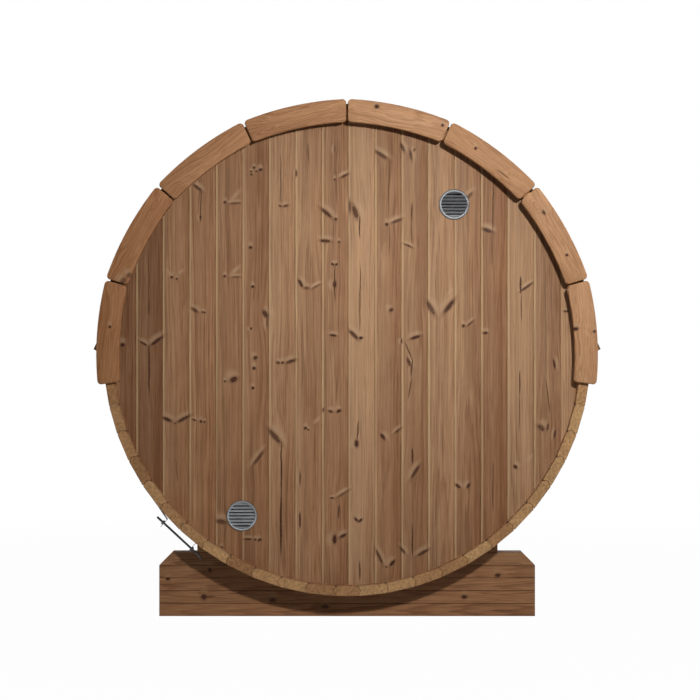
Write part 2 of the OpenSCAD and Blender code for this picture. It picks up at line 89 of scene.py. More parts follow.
class Signal:
    """An output socket of a node tree, with Python's operators for its maths."""

    def __init__(self, sheet: "NodeSheet", socket: bpy.types.NodeSocket) -> None:
        """Wraps a socket of a sheet's tree."""
        self.sheet = sheet
        self.socket = socket

    def _math(self, operation: str, *values: Any) -> "Signal":
        """Adds a Math node on some values and gives its result."""
        return self.sheet.add("ShaderNodeMath", {"operation": operation}, dict(enumerate(values)))

    def __add__(self, other: Any) -> "Signal":
        """Adds a value."""
        return self._math("ADD", self, other)

    def __sub__(self, other: Any) -> "Signal":
        """Takes a value away."""
        return self._math("SUBTRACT", self, other)

    def __rsub__(self, other: float) -> "Signal":
        """Takes this away from a number."""
        return self._math("SUBTRACT", other, self)

    def __mul__(self, other: Any) -> "Signal":
        """Multiplies by a value."""
        return self._math("MULTIPLY", self, other)

    def __truediv__(self, other: Any) -> "Signal":
        """Divides by a value."""
        return self._math("DIVIDE", self, other)

    def __rtruediv__(self, other: float) -> "Signal":
        """Divides a number by this."""
        return self._math("DIVIDE", other, self)

    def __mod__(self, other: Any) -> "Signal":
        """Gives the remainder after a floored division."""
        return self._math("FLOORED_MODULO", self, other)

    def __abs__(self) -> "Signal":
        """Drops the sign."""
        return self._math("ABSOLUTE", self)

    __radd__ = __add__
    __rmul__ = __mul__

    def least(self, other: Any) -> "Signal":
        """Gives the smaller of two values."""
        return self._math("MINIMUM", self, other)

    def most(self, other: Any) -> "Signal":
        """Gives the larger of two values."""
        return self._math("MAXIMUM", self, other)

    def rounded(self) -> "Signal":
        """Gives the nearest whole number."""
        return self._math("ROUND", self)

    def cos(self) -> "Signal":
        """Gives the cosine of an angle in radians."""
        return self._math("COSINE", self)

    def sin(self) -> "Signal":
        """Gives the sine of an angle in radians."""
        return self._math("SINE", self)

    def over(self, limit: Any) -> "Signal":
        """Gives 1 where this is above a limit, and 0 elsewhere."""
        return self._math("GREATER_THAN", self, limit)

    def turn_from(self, other: "Signal") -> "Signal":
        """Gives the angle whose tangent is this over another value."""
        return self._math("ARCTAN2", self, other)

    def ease(self, start: float, end: float, low: float = 0.0, high: float = 1.0) -> "Signal":
        """Runs smoothly from one value to another.

        Args:
            start: Where the change starts.
            end: Where it ends.
            low: Value before the start.
            high: Value after the end.

        Returns:
            The eased value.
        """
        ends = {"Value": self, "From Min": start, "From Max": end, "To Min": low, "To Max": high}
        return self.sheet.add("ShaderNodeMapRange", {"interpolation_type": "SMOOTHSTEP"}, ends)

    def output(self, key: int | str) -> "Signal":
        """Gives another output of the same node."""
        return Signal(self.sheet, self.socket.node.outputs[key])

    def xyz(self) -> tuple["Signal", "Signal", "Signal"]:
        """Splits a vector into its three values."""
        first = self.sheet.add("ShaderNodeSeparateXYZ", inputs={0: self})
        return first, first.output(1), first.output(2)


class NodeSheet:
    """A node tree that is filled from Python expressions."""

    def __init__(self, tree: bpy.types.NodeTree) -> None:
        """Starts on an empty tree."""
        self.tree = tree

    def add(self, kind: str, settings: dict[str, Any] | None = None,
            inputs: dict[int | str, Any] | None = None, out: int | str = 0) -> Signal:
        """Adds a node.

        Args:
            kind: The node's type.
            settings: Properties of the node, set first.
            inputs: Value or link of each socket, by name or number.
            out: Output to hand back.

        Returns:
            That output.
        """
        node = self.tree.nodes.new(kind)
        for key, value in (settings or {}).items():
            setattr(node, key, value)
        for key, value in (inputs or {}).items():
            if isinstance(value, Signal):
                self.tree.links.new(value.socket, node.inputs[key])
            else:
                node.inputs[key].default_value = value
        return Signal(self, node.outputs[out]) if len(node.outputs) else Signal(self, node.inputs[0])

    def attribute(self, name: str, out: str = "Vector") -> Signal:
        """Reads an attribute of the mesh."""
        return self.add("ShaderNodeAttribute", {"attribute_name": name}, out=out)

    def place(self) -> Signal:
        """Gives the place on the object."""
        return self.add("ShaderNodeTexCoord", out="Object")

    def stretch(self, vector: Signal, scale: Triple) -> Signal:
        """Scales a vector along its axes."""
        return self.add("ShaderNodeVectorMath", {"operation": "MULTIPLY"}, {0: vector, 1: scale})

    def shift(self, vector: Signal, scale: Triple, offset: Any) -> Signal:
        """Scales a vector along its axes and adds another."""
        return self.add("ShaderNodeVectorMath", {"operation": "MULTIPLY_ADD"}, {
            0: vector, 1: scale, 2: offset})

    def length(self, vector: Signal) -> Signal:
        """Gives the length of a vector."""
        return self.add("ShaderNodeVectorMath", {"operation": "LENGTH"}, {0: vector}, "Value")

    def noise(self, vector: Signal, detail: float = 2.0, scale: float = 1.0, out: str = "Fac") -> Signal:
        """Adds a noise of mean one half."""
        return self.add("ShaderNodeTexNoise", inputs={
            "Vector": vector, "Scale": scale, "Detail": detail, "Roughness": NOISE_ROUGHNESS}, out=out)

    def blend(self, factor: Any, first: Any, second: Any) -> Signal:
        """Mixes two colours."""
        return self.add("ShaderNodeMix", {"data_type": "RGBA"}, {0: factor, 6: first, 7: second}, out=2)

    def dim(self, colour: Signal, factor: Signal) -> Signal:
        """Multiplies a colour by a value."""
        return self.add("ShaderNodeVectorMath", {"operation": "SCALE"}, {0: colour, "Scale": factor})

    def point(self, x: Any, y: Any, z: Any) -> Signal:
        """Joins three values to a vector."""
        return self.add("ShaderNodeCombineXYZ", inputs={0: x, 1: y, 2: z})


@dataclass(frozen=True)
class Finish:
    """A surface: each kind fills the sockets of one shader."""

    name: str

    def material(self) -> bpy.types.Material:
        """Builds the material, or gives the one that is already there."""
        known = bpy.data.materials.get(self.name)
        if known:
            return known
        made = bpy.data.materials.new(self.name)
        made.use_nodes = True
        made.node_tree.nodes.clear()
        sheet = NodeSheet(made.node_tree)
        shader = sheet.add("ShaderNodeBsdfPrincipled", inputs=self.sockets(sheet))
        sheet.add("ShaderNodeOutputMaterial", inputs={"Surface": shader})
        return made

    def sockets(self, sheet: NodeSheet) -> dict[str, Any]:
        """Gives the value or link of each socket of the shader that this finish sets."""
        raise NotImplementedError

    @staticmethod
    def bump(sheet: NodeSheet, height: Signal, distance: float, strength: float = 0.5) -> Signal:
        """Turns a height into a normal.

        Args:
            sheet: Tree to add to.
            height: Height from 0 to 1.
            distance: Depth of the relief in metres.
            strength: Share of the relief that shows.

        Returns:
            The normal.
        """
        return sheet.add("ShaderNodeBump", inputs={
            "Height": height, "Distance": distance, "Strength": strength})


@dataclass(frozen=True)
class Mark:
    """A knot or a crack: millimetres from the barrel's axis as seen on the end, degrees from level.

    A depth below zero makes a pale stroke, and the depth of an oval eye counts its rings.
    """

    x: float
    z: float
    reach: float
    breadth: float
    turn: float = 0.0
    depth: float = 1.0

    @property
    def crack(self) -> bool:
        """Tells a long crack from a knot."""
        return self.reach > CRACK_RATIO * self.breadth


@dataclass(frozen=True)
class Figure:
    """A noise in the wood: waves to a metre across and along the grain, and the range that is eased."""

    across: float
    along: float
    octaves: int = 2
    span: Pair | None = None

    def draw(self, sheet: NodeSheet, place: Signal) -> Signal:
        """Adds the noise at a place in the grain."""
        noise = sheet.noise(sheet.stretch(place, (self.across, self.across, self.along)), self.octaves)
        return noise.ease(*self.span) if self.span else noise


STREAK = Figure(90, 1.6, 2, (0.3, 0.7))
FINE = Figure(300, 4.0, 2, (0.3, 0.7))
BAND = Figure(17, 0.45, 1, (0.25, 0.75))
DASH = Figure(380, 8, 1, (0.6, 0.76))
MOTTLE = Figure(14, 8)
FIBRE = Figure(800, 16)
SPECKLE = Figure(85, 0, 4)


@dataclass(frozen=True)
class KnotLook:
    """How knots and cracks are drawn. A fade runs over distances from the middle, with the rim at 1."""

    shake: float = 0.008
    grow: float = 1.15
    ragged: float = 230.0
    wavy: float = 16.0
    through: float = 0.03
    fade: Pair = (0.72, 1.1)
    stroke_fade: Pair = (0.0, 1.3)
    rim_fade: Pair = (0.9, 2.0)
    rim_depth: float = 0.5
    halo_shape: Triple = (0.62, 0.6, 0.36)
    halo_drop: Triple = (0.0, 0.0, -0.5)
    halo_fade: Pair = (0.3, 1.3)
    halo_depth: float = 0.5
    torn: float = 330.0
    torn_span: Pair = (0.4, 0.62)
    torn_depth: float = 0.75
    eye_fade: Pair = (0.6, 1.1)
    flow_width: float = 0.6
    flow_length: float = 2.6


@dataclass(frozen=True)
class ScatterLook:
    """How knots at random places are drawn, in cells that are longer along the grain."""

    cells: Triple = (9.0, 3.0, 3.4)
    least: float = 0.035
    more: float = 0.05
    halo_fade: Pair = (1.0, 3.0)
    halo_depth: float = 0.4
    fade: Pair = (0.4, 1.2)
    depth: float = 0.9


KNOTS = KnotLook()
SCATTER = ScatterLook()


@dataclass(frozen=True)
class WoodFinish(Finish):
    """Heat-treated softwood, drawn in each plank's own grain."""

    # Colours
    pale: str = "a27e5e"
    warm: str = "90603e"
    end: str = "b88f62"
    knot: str = "1d0e08"
    rim: str = "653a22"
    feather: str = "b99876"
    # Colour of the painted highlight on each board's left arris
    arris: str = "c0a078"
    # Growth rings, and how much each figure darkens
    ring: float = 0.009
    ring_depth: float = 0.15
    wander: float = 0.02
    swirl: float = 1.3
    streak_depth: float = 0.15
    fine_depth: float = 0.21
    band_depth: float = 0.14
    dash_depth: float = 0.20
    mottle_depth: float = 0.20
    fibre_depth: float = 0.20
    # What only some woods have
    side_red: float = 0.0
    low_red: float = 0.0
    half_width: float = 0.0
    flow: float = 0.0
    seam: float = 0.0
    painted_joint_shade: float = 0.0
    scatter: float = 0.0
    gloss: float = 0.15
    marks: tuple[Mark, ...] = ()
    eyes: tuple[Mark, ...] = ()
    mark_y: float = 0.0
    # Late wood within a ring
    drift_waves: float = 9.0
    ring_shift: float = 0.5
    late_rise: Pair = (0.3, 0.86)
    late_fall: Pair = (0.88, 1.0)
    late_most: float = 1.3
    late_band: float = 0.8
    # Reddening
    red: float = 0.42
    red_by_warmth: float = 0.7
    red_by_tone: float = 1.3
    side_span: Pair = (-0.02, 0.03)
    side_dim_span: Pair = (0.0, 0.055)
    side_dim: float = 0.3
    low_span: Pair = (0.4, 1.1)
    # End grain
    end_warmth: float = 0.7
    end_light: float = 0.94
    end_speckle: float = 1.4
    end_late: float = 0.3
    end_band: float = 0.1
    # Roughness and relief
    roughness: float = 0.5
    streak_roughness: float = 0.2
    end_roughness: float = 0.1
    relief: float = 0.0006
    fibre_relief: float = 0.5
    late_relief: float = 0.4
    fine_relief: float = 0.5
    # Arrises, with a painted highlight on each board's left arris and painted shade at its right arris, and
    # glue lines
    painted_highlight_span: Pair = (0.0024, 0.0062)
    painted_highlight_least: float = 0.4
    painted_highlight_streak: float = 0.45
    painted_shade_span: Pair = (0.001, 0.0045)
    painted_shade_depth: float = 0.7
    glue_line: Pair = (0.0004, 0.0022)
    glue_depth: float = 0.55

    def sockets(self, sheet: NodeSheet) -> dict[str, Any]:
        """Draws rings, streaks, fibres, knots and end grain."""
        grain = sheet.attribute("grain")
        a, t, along = grain.xyz()
        shade, warmth, pith = sheet.attribute("plank").xyz()
        end = sheet.attribute("end", "Fac")
        across = a + pith
        waves = (self.drift_waves, self.drift_waves, self.swirl)
        drift, sway, _ = sheet.noise(sheet.stretch(grain, waves), 2, out="Color").xyz()
        bent = sheet.point(a + (drift - 0.5) * self.wander - self._parted(sheet),
                           t + (sway - 0.5) * self.wander, along)
        radius = sheet.length(sheet.stretch(bent, (1, 1, 0)))
        streak, fine, band, dash = (figure.draw(sheet, bent) for figure in (STREAK, FINE, BAND, DASH))
        mottle, fibre, speckle = (figure.draw(sheet, grain) for figure in (MOTTLE, FIBRE, SPECKLE))
        step = (radius / self.ring + streak * self.ring_shift) % 1.0
        eye, calm = self._eyes(sheet)
        late = step.ease(*self.late_rise) * step.ease(*self.late_fall, 1.0, 0.0)
        late = late * (self.late_most - band * self.late_band) * calm + eye
        tone = ((streak - 0.5) * self.streak_depth + (fine - 0.5) * self.fine_depth
                + (band - 0.5) * self.band_depth + (mottle - 0.5) * self.mottle_depth
                + (fibre - 0.5) * self.fibre_depth - dash * self.dash_depth - late * self.ring_depth)
        light = shade * (1 + tone)
        red = (warmth - 0.5) * self.red_by_warmth - tone * self.red_by_tone + self.red
        if self.side_red:
            red = red + across.ease(*self.side_span, -self.side_red, self.side_red)
            light = light - across.ease(*self.side_dim_span, 0.0, self.side_red * self.side_dim)
        if self.low_red:
            _, _, height = sheet.place().xyz()
            red = red + height.ease(*self.low_span, self.low_red, 0.0)
        wood = sheet.dim(sheet.blend(red.most(0.0).least(1.0), tint(self.pale), tint(self.warm)), light)
        # Painted highlight on the left arris and painted shade at the right arris of each board
        if self.half_width:
            wood = self._painted_arris_light_and_shade(sheet, wood, across, streak)
        # Painted shade in the chamfers between staves
        if self.painted_joint_shade:
            wood = sheet.blend(sheet.attribute("arris", "Fac") * self.painted_joint_shade, wood, tint(self.knot))
        if self.seam:
            wood = self._seamed(sheet, wood)
        if self.marks:
            wood = self._marked(sheet, wood)
        if self.scatter:
            wood = self._scattered(sheet, wood, grain)
        cut = (self.end_light + (speckle - 0.5) * self.end_speckle
               - late * self.end_late + band * self.end_band)
        butt = sheet.dim(sheet.blend(warmth * self.end_warmth, tint(self.end), tint(self.warm)), shade * cut)
        height = fibre * self.fibre_relief - late * self.late_relief + fine * self.fine_relief
        return {
            "Base Color": sheet.blend(end, wood, butt),
            "Roughness": self.roughness + streak * self.streak_roughness + end * self.end_roughness,
            "Specular IOR Level": self.gloss,
            "Normal": self.bump(sheet, height, self.relief),
        }

    def _painted_arris_light_and_shade(self, sheet: NodeSheet, wood: Signal, across: Signal, streak: Signal) -> Signal:
        """Draws a painted highlight on the left arris and painted shade at the right arris of a board.

        Args:
            sheet: Tree to add to.
            wood: Colour so far.
            across: Distance from the board's middle.
            streak: Noise that breaks the lines up.

        Returns:
            The colour with its painted arris highlight and shade.
        """
        left = (across + self.half_width).ease(*self.painted_highlight_span, 1.0, 0.0)
        right = (self.half_width - across).ease(*self.painted_shade_span, 1.0, 0.0)
        wood = sheet.blend(left * (self.painted_highlight_least + streak * self.painted_highlight_streak), wood, tint(self.arris))
        return sheet.blend(right * self.painted_shade_depth, wood, tint(self.knot))

    def _seamed(self, sheet: NodeSheet, wood: Signal) -> Signal:
        """Draws the dark glue lines between level laminations.

        Args:
            sheet: Tree to add to.
            wood: Colour so far.

        Returns:
            The colour with its glue lines.
        """
        _, _, height = sheet.place().xyz()
        away = abs((height / self.seam + 0.5) % 1.0 - 0.5) * self.seam
        return sheet.blend(away.ease(*self.glue_line, self.glue_depth, 0.0), wood, tint(self.knot))

    def _parted(self, sheet: NodeSheet) -> Any:
        """Gives how far the lines of the grain step aside for the knots.

        Args:
            sheet: Tree to add to.

        Returns:
            The distance across the grain.
        """
        aside: Any = 0.0
        if not self.flow:
            return aside
        place = sheet.place()
        for mark in self.marks:
            if mark.crack or mark.depth < 0:
                continue
            wide = KNOTS.flow_width * (mark.reach + mark.breadth) * MM
            inside = sheet.add("ShaderNodeMapping", {"vector_type": "TEXTURE"}, {
                "Vector": place, "Location": (mark.x * MM, self.mark_y, barrel.axis_z + mark.z * MM),
                "Scale": (wide, FAR, KNOTS.flow_length * wide)})
            squared = sheet.add("ShaderNodeVectorMath", {"operation": "DOT_PRODUCT"}, {
                0: inside, 1: inside}, "Value")
            aside = inside.xyz()[0] * (self.flow * wide) / (1 + squared) + aside
        return aside

    def _eyes(self, sheet: NodeSheet) -> tuple[Any, Any]:
        """Gives the oval rings where the cut meets the top of a growth ring.

        Args:
            sheet: Tree to add to.

        Returns:
            The late wood of the eyes, and the share of the plain rings that is left beside them.
        """
        late: Any = 0.0
        calm: Any = 1.0
        place = sheet.place()
        for mark in self.eyes:
            away = sheet.length(self._inside(sheet, place, mark))
            near = away.ease(*KNOTS.eye_fade, 1.0, 0.0)
            late = ((away * (math.tau * mark.depth)).cos() * 0.5 + 0.5) * near + late
            calm = calm - near
        return late, calm

    def _inside(self, sheet: NodeSheet, place: Signal, mark: Mark,
                grow: float = 1.0, shift: float = 0.0) -> Signal:
        """Gives the place within a mark, whose rim is at a length of 1.

        Args:
            sheet: Tree to add to.
            place: Place on the object.
            mark: The mark.
            grow: Factor on its size.
            shift: Distance that the place was moved along X and Z.

        Returns:
            The place in the mark's own frame.
        """
        return sheet.add("ShaderNodeMapping", {"vector_type": "TEXTURE"}, {
            "Vector": place,
            "Location": (mark.x * MM + shift, self.mark_y, barrel.axis_z + mark.z * MM + shift),
            "Rotation": (0.0, -math.radians(mark.turn), 0.0),
            "Scale": (mark.reach * grow * MM, KNOTS.through, mark.breadth * grow * MM)})

    def _marked(self, sheet: NodeSheet, wood: Signal) -> Signal:
        """Draws this finish's own knots and cracks, the knots with a brown rim and a pale halo.

        Args:
            sheet: Tree to add to.
            wood: Colour so far.

        Returns:
            The colour with its marks.
        """
        place = sheet.place()
        shaken = (KNOTS.shake, 0.0, KNOTS.shake)
        ragged, wavy = (sheet.shift(sheet.noise(place, 2, waves, "Color"), shaken, place)
                        for waves in (KNOTS.ragged, KNOTS.wavy))
        dark: Any = 0.0
        pale: Any = 0.0
        edge: Any = FAR
        near: Any = FAR
        for mark in self.marks:
            inside = self._inside(sheet, wavy if mark.crack else ragged, mark, KNOTS.grow, KNOTS.shake / 2)
            away = sheet.length(inside)
            if mark.depth < 0:
                pale = away.ease(*KNOTS.stroke_fade, -mark.depth, 0.0).most(pale)
                continue
            dark = away.ease(*KNOTS.fade, mark.depth, 0.0).most(dark)
            edge = (away + (FAR if mark.crack else 0.0)).least(edge)
            if not mark.crack:
                near = sheet.length(sheet.shift(inside, KNOTS.halo_shape, KNOTS.halo_drop)).least(near)
        if isinstance(near, Signal):
            wood = sheet.blend(near.ease(*KNOTS.halo_fade, KNOTS.halo_depth, 0.0), wood, tint(self.feather))
        if isinstance(pale, Signal):
            wood = sheet.blend(pale, wood, tint(self.feather))
        if isinstance(edge, Signal):
            wood = sheet.blend(edge.ease(*KNOTS.rim_fade, KNOTS.rim_depth, 0.0), wood, tint(self.rim))
        torn = sheet.noise(place, 2, KNOTS.torn).ease(*KNOTS.torn_span)
        return sheet.blend(dark, wood, sheet.blend(torn * KNOTS.torn_depth, tint(self.knot), tint(self.rim)))

    def _scattered(self, sheet: NodeSheet, wood: Signal, grain: Signal) -> Signal:
        """Draws knots at random places along the planks.

        Args:
            sheet: Tree to add to.
            wood: Colour so far.
            grain: Place in the plank's grain.

        Returns:
            The colour with its knots.
        """
        cell = sheet.add("ShaderNodeTexVoronoi", inputs={
            "Vector": sheet.stretch(grain, SCATTER.cells), "Scale": 1.0}, out="Distance")
        chance, size, _ = cell.output("Color").xyz()
        away = cell / (size * SCATTER.more + SCATTER.least) + chance.over(self.scatter) * FAR
        wood = sheet.blend(away.ease(*SCATTER.halo_fade, SCATTER.halo_depth, 0.0), wood, tint(self.feather))
        return sheet.blend(away.ease(*SCATTER.fade, SCATTER.depth, 0.0), wood, tint(self.knot))


@dataclass(frozen=True)
class MetalFinish(Finish):
    """Bare or coated metal with fine scratches and a little wear."""

    bright: str = "9c9fa3"
    dull: str = "6f7276"
    metallic: float = 1.0
    roughness: float = 0.35
    brush: Triple = (90.0, 900.0, 90.0)
    patches: float = 22.0
    patch_span: Pair = (0.3, 0.7)
    brush_roughness: float = 0.22
    patch_roughness: float = 0.15
    gloss: float = 0.3
    relief: float = 0.0002
    relief_strength: float = 0.3

    def sockets(self, sheet: NodeSheet) -> dict[str, Any]:
        """Draws brushing and soft patches."""
        place = sheet.place()
        brushed = sheet.noise(sheet.stretch(place, self.brush), 3)
        patch = sheet.noise(place, 3, self.patches)
        rough = (brushed - 0.5) * self.brush_roughness + (patch - 0.5) * self.patch_roughness
        return {
            "Base Color": sheet.blend(patch.ease(*self.patch_span), tint(self.dull), tint(self.bright)),
            "Metallic": self.metallic,
            "Roughness": self.roughness + rough,
            "Specular IOR Level": self.gloss,
            "Normal": self.bump(sheet, brushed, self.relief, self.relief_strength),
        }


@dataclass(frozen=True)
class RoofingFinish(Finish):
    """Bitumen roofing faced with fine mineral grains."""

    dark: str = "1c1d1f"
    grey: str = "3b3d40"
    grain: float = 620.0
    patches: float = 9.0
    by_speck: float = 0.55
    by_patch: float = 0.4
    by_tab: float = 0.25
    darker: float = 0.3
    roughness: float = 0.82
    patch_roughness: float = 0.12
    relief: float = 0.0012
    relief_strength: float = 0.6

    def sockets(self, sheet: NodeSheet) -> dict[str, Any]:
        """Draws the grains and the tone of each tab."""
        place = sheet.place()
        grit = sheet.add("ShaderNodeTexVoronoi", inputs={
            "Vector": place, "Scale": self.grain}, out="Distance")
        speck, _, _ = grit.output("Color").xyz()
        patch = sheet.noise(place, 3, self.patches)
        tone = sheet.attribute("tone", "Fac")
        share = speck * self.by_speck + patch * self.by_patch + tone * self.by_tab - self.darker
        return {
            "Base Color": sheet.blend(share.most(0.0).least(1.0), tint(self.dark), tint(self.grey)),
            "Roughness": self.roughness + patch * self.patch_roughness,
            "Normal": self.bump(sheet, 1 - grit, self.relief, self.relief_strength),
        }


class Grain(Enum):
    """Which way the fibres of a piece run."""

    UP = "up"
    SPAN = "span"
    LENGTH = "length"
    STAVE = "stave"
    BLOCK = "block"
    LONGEST = "longest"


@dataclass
class Barrel:
    """Sizes of the barrel, measured on the frame."""

    axis_z: float
    half_length: float

    @classmethod
    def measure(cls) -> "Barrel":
        """Takes the sizes from the bottom and crown staves."""
        low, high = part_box("bottom_stave")[0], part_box("crown_stave")[1]
        return cls((low.z + high.z) / 2, high.y)

    def angle(self, spot: np.ndarray) -> float:
        """Gives the angle of a spot about the barrel's axis, from +X over +Z."""
        return math.atan2(spot[2] - self.axis_z, spot[0])


barrel = Barrel.measure()


@dataclass(frozen=True)
class View:
    """The photograph's view of the rear end: where the camera stands, and its picture's width in pixels."""

    eye: Pair = (0.012, 1.1096)
    distance: float = 8.0
    lens: float = 100.7
    sensor: float = 36.0
    picture: int = 700
    hairline: float = 2.4

    def mark(self, face: float, across: float, down: float, reach: float, breadth: float,
             turn: float, depth: float) -> Mark:
        """Turns what was read off the picture into a mark on the wood.

        Args:
            face: Place along Y of the surface that it is on.
            across: Pixels from the picture's left side to the middle of the mark.
            down: Pixels from the picture's top to the middle of the mark.
            reach: Half of its length in pixels.
            breadth: Half of its breadth in pixels, which is drawn no finer than a hairline.
            turn: Degrees from level.
            depth: How dark it is.

        Returns:
            The mark.
        """
        pixel = self.sensor / self.lens * (self.distance + barrel.half_length + face) / self.picture / MM
        middle = self.picture / 2
        return Mark(
            self.eye[0] / MM + (across - middle) * pixel,
            (self.eye[1] - barrel.axis_z) / MM - (down - middle) * pixel,
            reach * pixel, max(breadth * pixel, self.hairline), turn, depth)


VIEW = View()


def node_points(name: str) -> np.ndarray:
    """Gives the corners of a CAD node's mesh.

    Args:
        name: Name of the node.

    Returns:
        One row a corner.
    """
    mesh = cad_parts[name].data
    flat = np.empty(len(mesh.vertices) * 3)
    mesh.vertices.foreach_get("co", flat)
    return flat.reshape(-1, 3)


def hand_in(piece: bpy.types.Object, slot: str, *nodes: str) -> bpy.types.Object:
    """Puts a finished piece on the frame.

    Args:
        piece: The piece, already in its place.
        slot: Its material slot in the record.
        nodes: CAD nodes that it stands for.

    Returns:
        The piece.
    """
    if piece.name not in bpy.context.scene.collection.objects:
        bpy.context.scene.collection.objects.link(piece)
    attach(piece, "root")
    if nodes:
        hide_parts(*nodes)
    log.info("%s: %d faces, %s", piece.name, len(piece.data.polygons), slot)
    return piece


class Workpiece:
    """A merged copy of a CAD node that is eased, cut into planks and dressed."""

    def __init__(self, node: str) -> None:
        """Copies a node and joins its triangles to flat faces.

        Args:
            node: Name of the CAD node.
        """
        self.node = node
        self.bm = bmesh.new()
        self.bm.from_mesh(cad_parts[node].data)
        bmesh.ops.remove_doubles(self.bm, verts=self.bm.verts, dist=MERGE)
        bmesh.ops.dissolve_limit(
            self.bm, angle_limit=FLAT, verts=self.bm.verts, edges=self.bm.edges, delimit=set())

    def ease(self, width: float, steps: int = 2, only: EdgeTest | None = None) -> None:
        """Rounds the sharp edges over.

        Args:
            width: Width of the round in metres.
            steps: Faces across the round.
            only: Test that an edge has to pass as well.
        """
        edges = [e for e in self.bm.edges if len(e.link_faces) == 2 and e.calc_face_angle(0.0) > SHARP
                 and (only is None or only(e))]
        bmesh.ops.bevel(self.bm, geom=edges, offset=width, segments=steps, profile=0.5,
                        affect="EDGES", clamp_overlap=True)

    def slice_at(self, heights: Iterable[float]) -> None:
        """Cuts the faces at some heights, so that each lamination has its own.

        Args:
            heights: Heights in metres.
        """
        for height in heights:
            bmesh.ops.bisect_plane(
                self.bm, geom=[*self.bm.verts, *self.bm.edges, *self.bm.faces],
                plane_co=(0, 0, height), plane_no=(0, 0, 1), dist=MERGE)

    def islands(self) -> list[int]:
        """Numbers the loose pieces of the mesh in the order in which they are met.

        Returns:
            The number of the piece that each face belongs to.
        """
        self.bm.faces.ensure_lookup_table()
        self.bm.faces.index_update()
        found = [-1] * len(self.bm.faces)
        count = 0
        for first in self.bm.faces:
            if found[first.index] >= 0:
                continue
            stack = [first]
            found[first.index] = count
            while stack:
                for edge in stack.pop().edges:
                    for other in edge.link_faces:
                        if found[other.index] < 0:
                            found[other.index] = count
                            stack.append(other)
            count += 1
        return found

    def mesh(self, smooth: bool = True) -> bpy.types.Mesh:
        """Makes the mesh, smooth over rounds and sharp at arrises.

        Args:
            smooth: Whether rounds are smooth, or every face is flat.

        Returns:
            The mesh.
        """
        made = bpy.data.meshes.new(f"{self.node}_dressed")
        self.bm.to_mesh(made)
        self.bm.free()
        if smooth:
            made.shade_smooth()
            made.set_sharp_from_angle(angle=SHARP)
        else:
            made.shade_flat()
        return made

    def dress(self, finish: Finish, slot: str) -> bpy.types.Object:
        """Makes the piece in one finish.

        Args:
            finish: Its finish.
            slot: Its material slot in the record.

        Returns:
            The piece.
        """
        mesh = self.mesh()
        mesh.materials.append(finish.material())
        return hand_in(bpy.data.objects.new(mesh.name, mesh), slot, self.node)


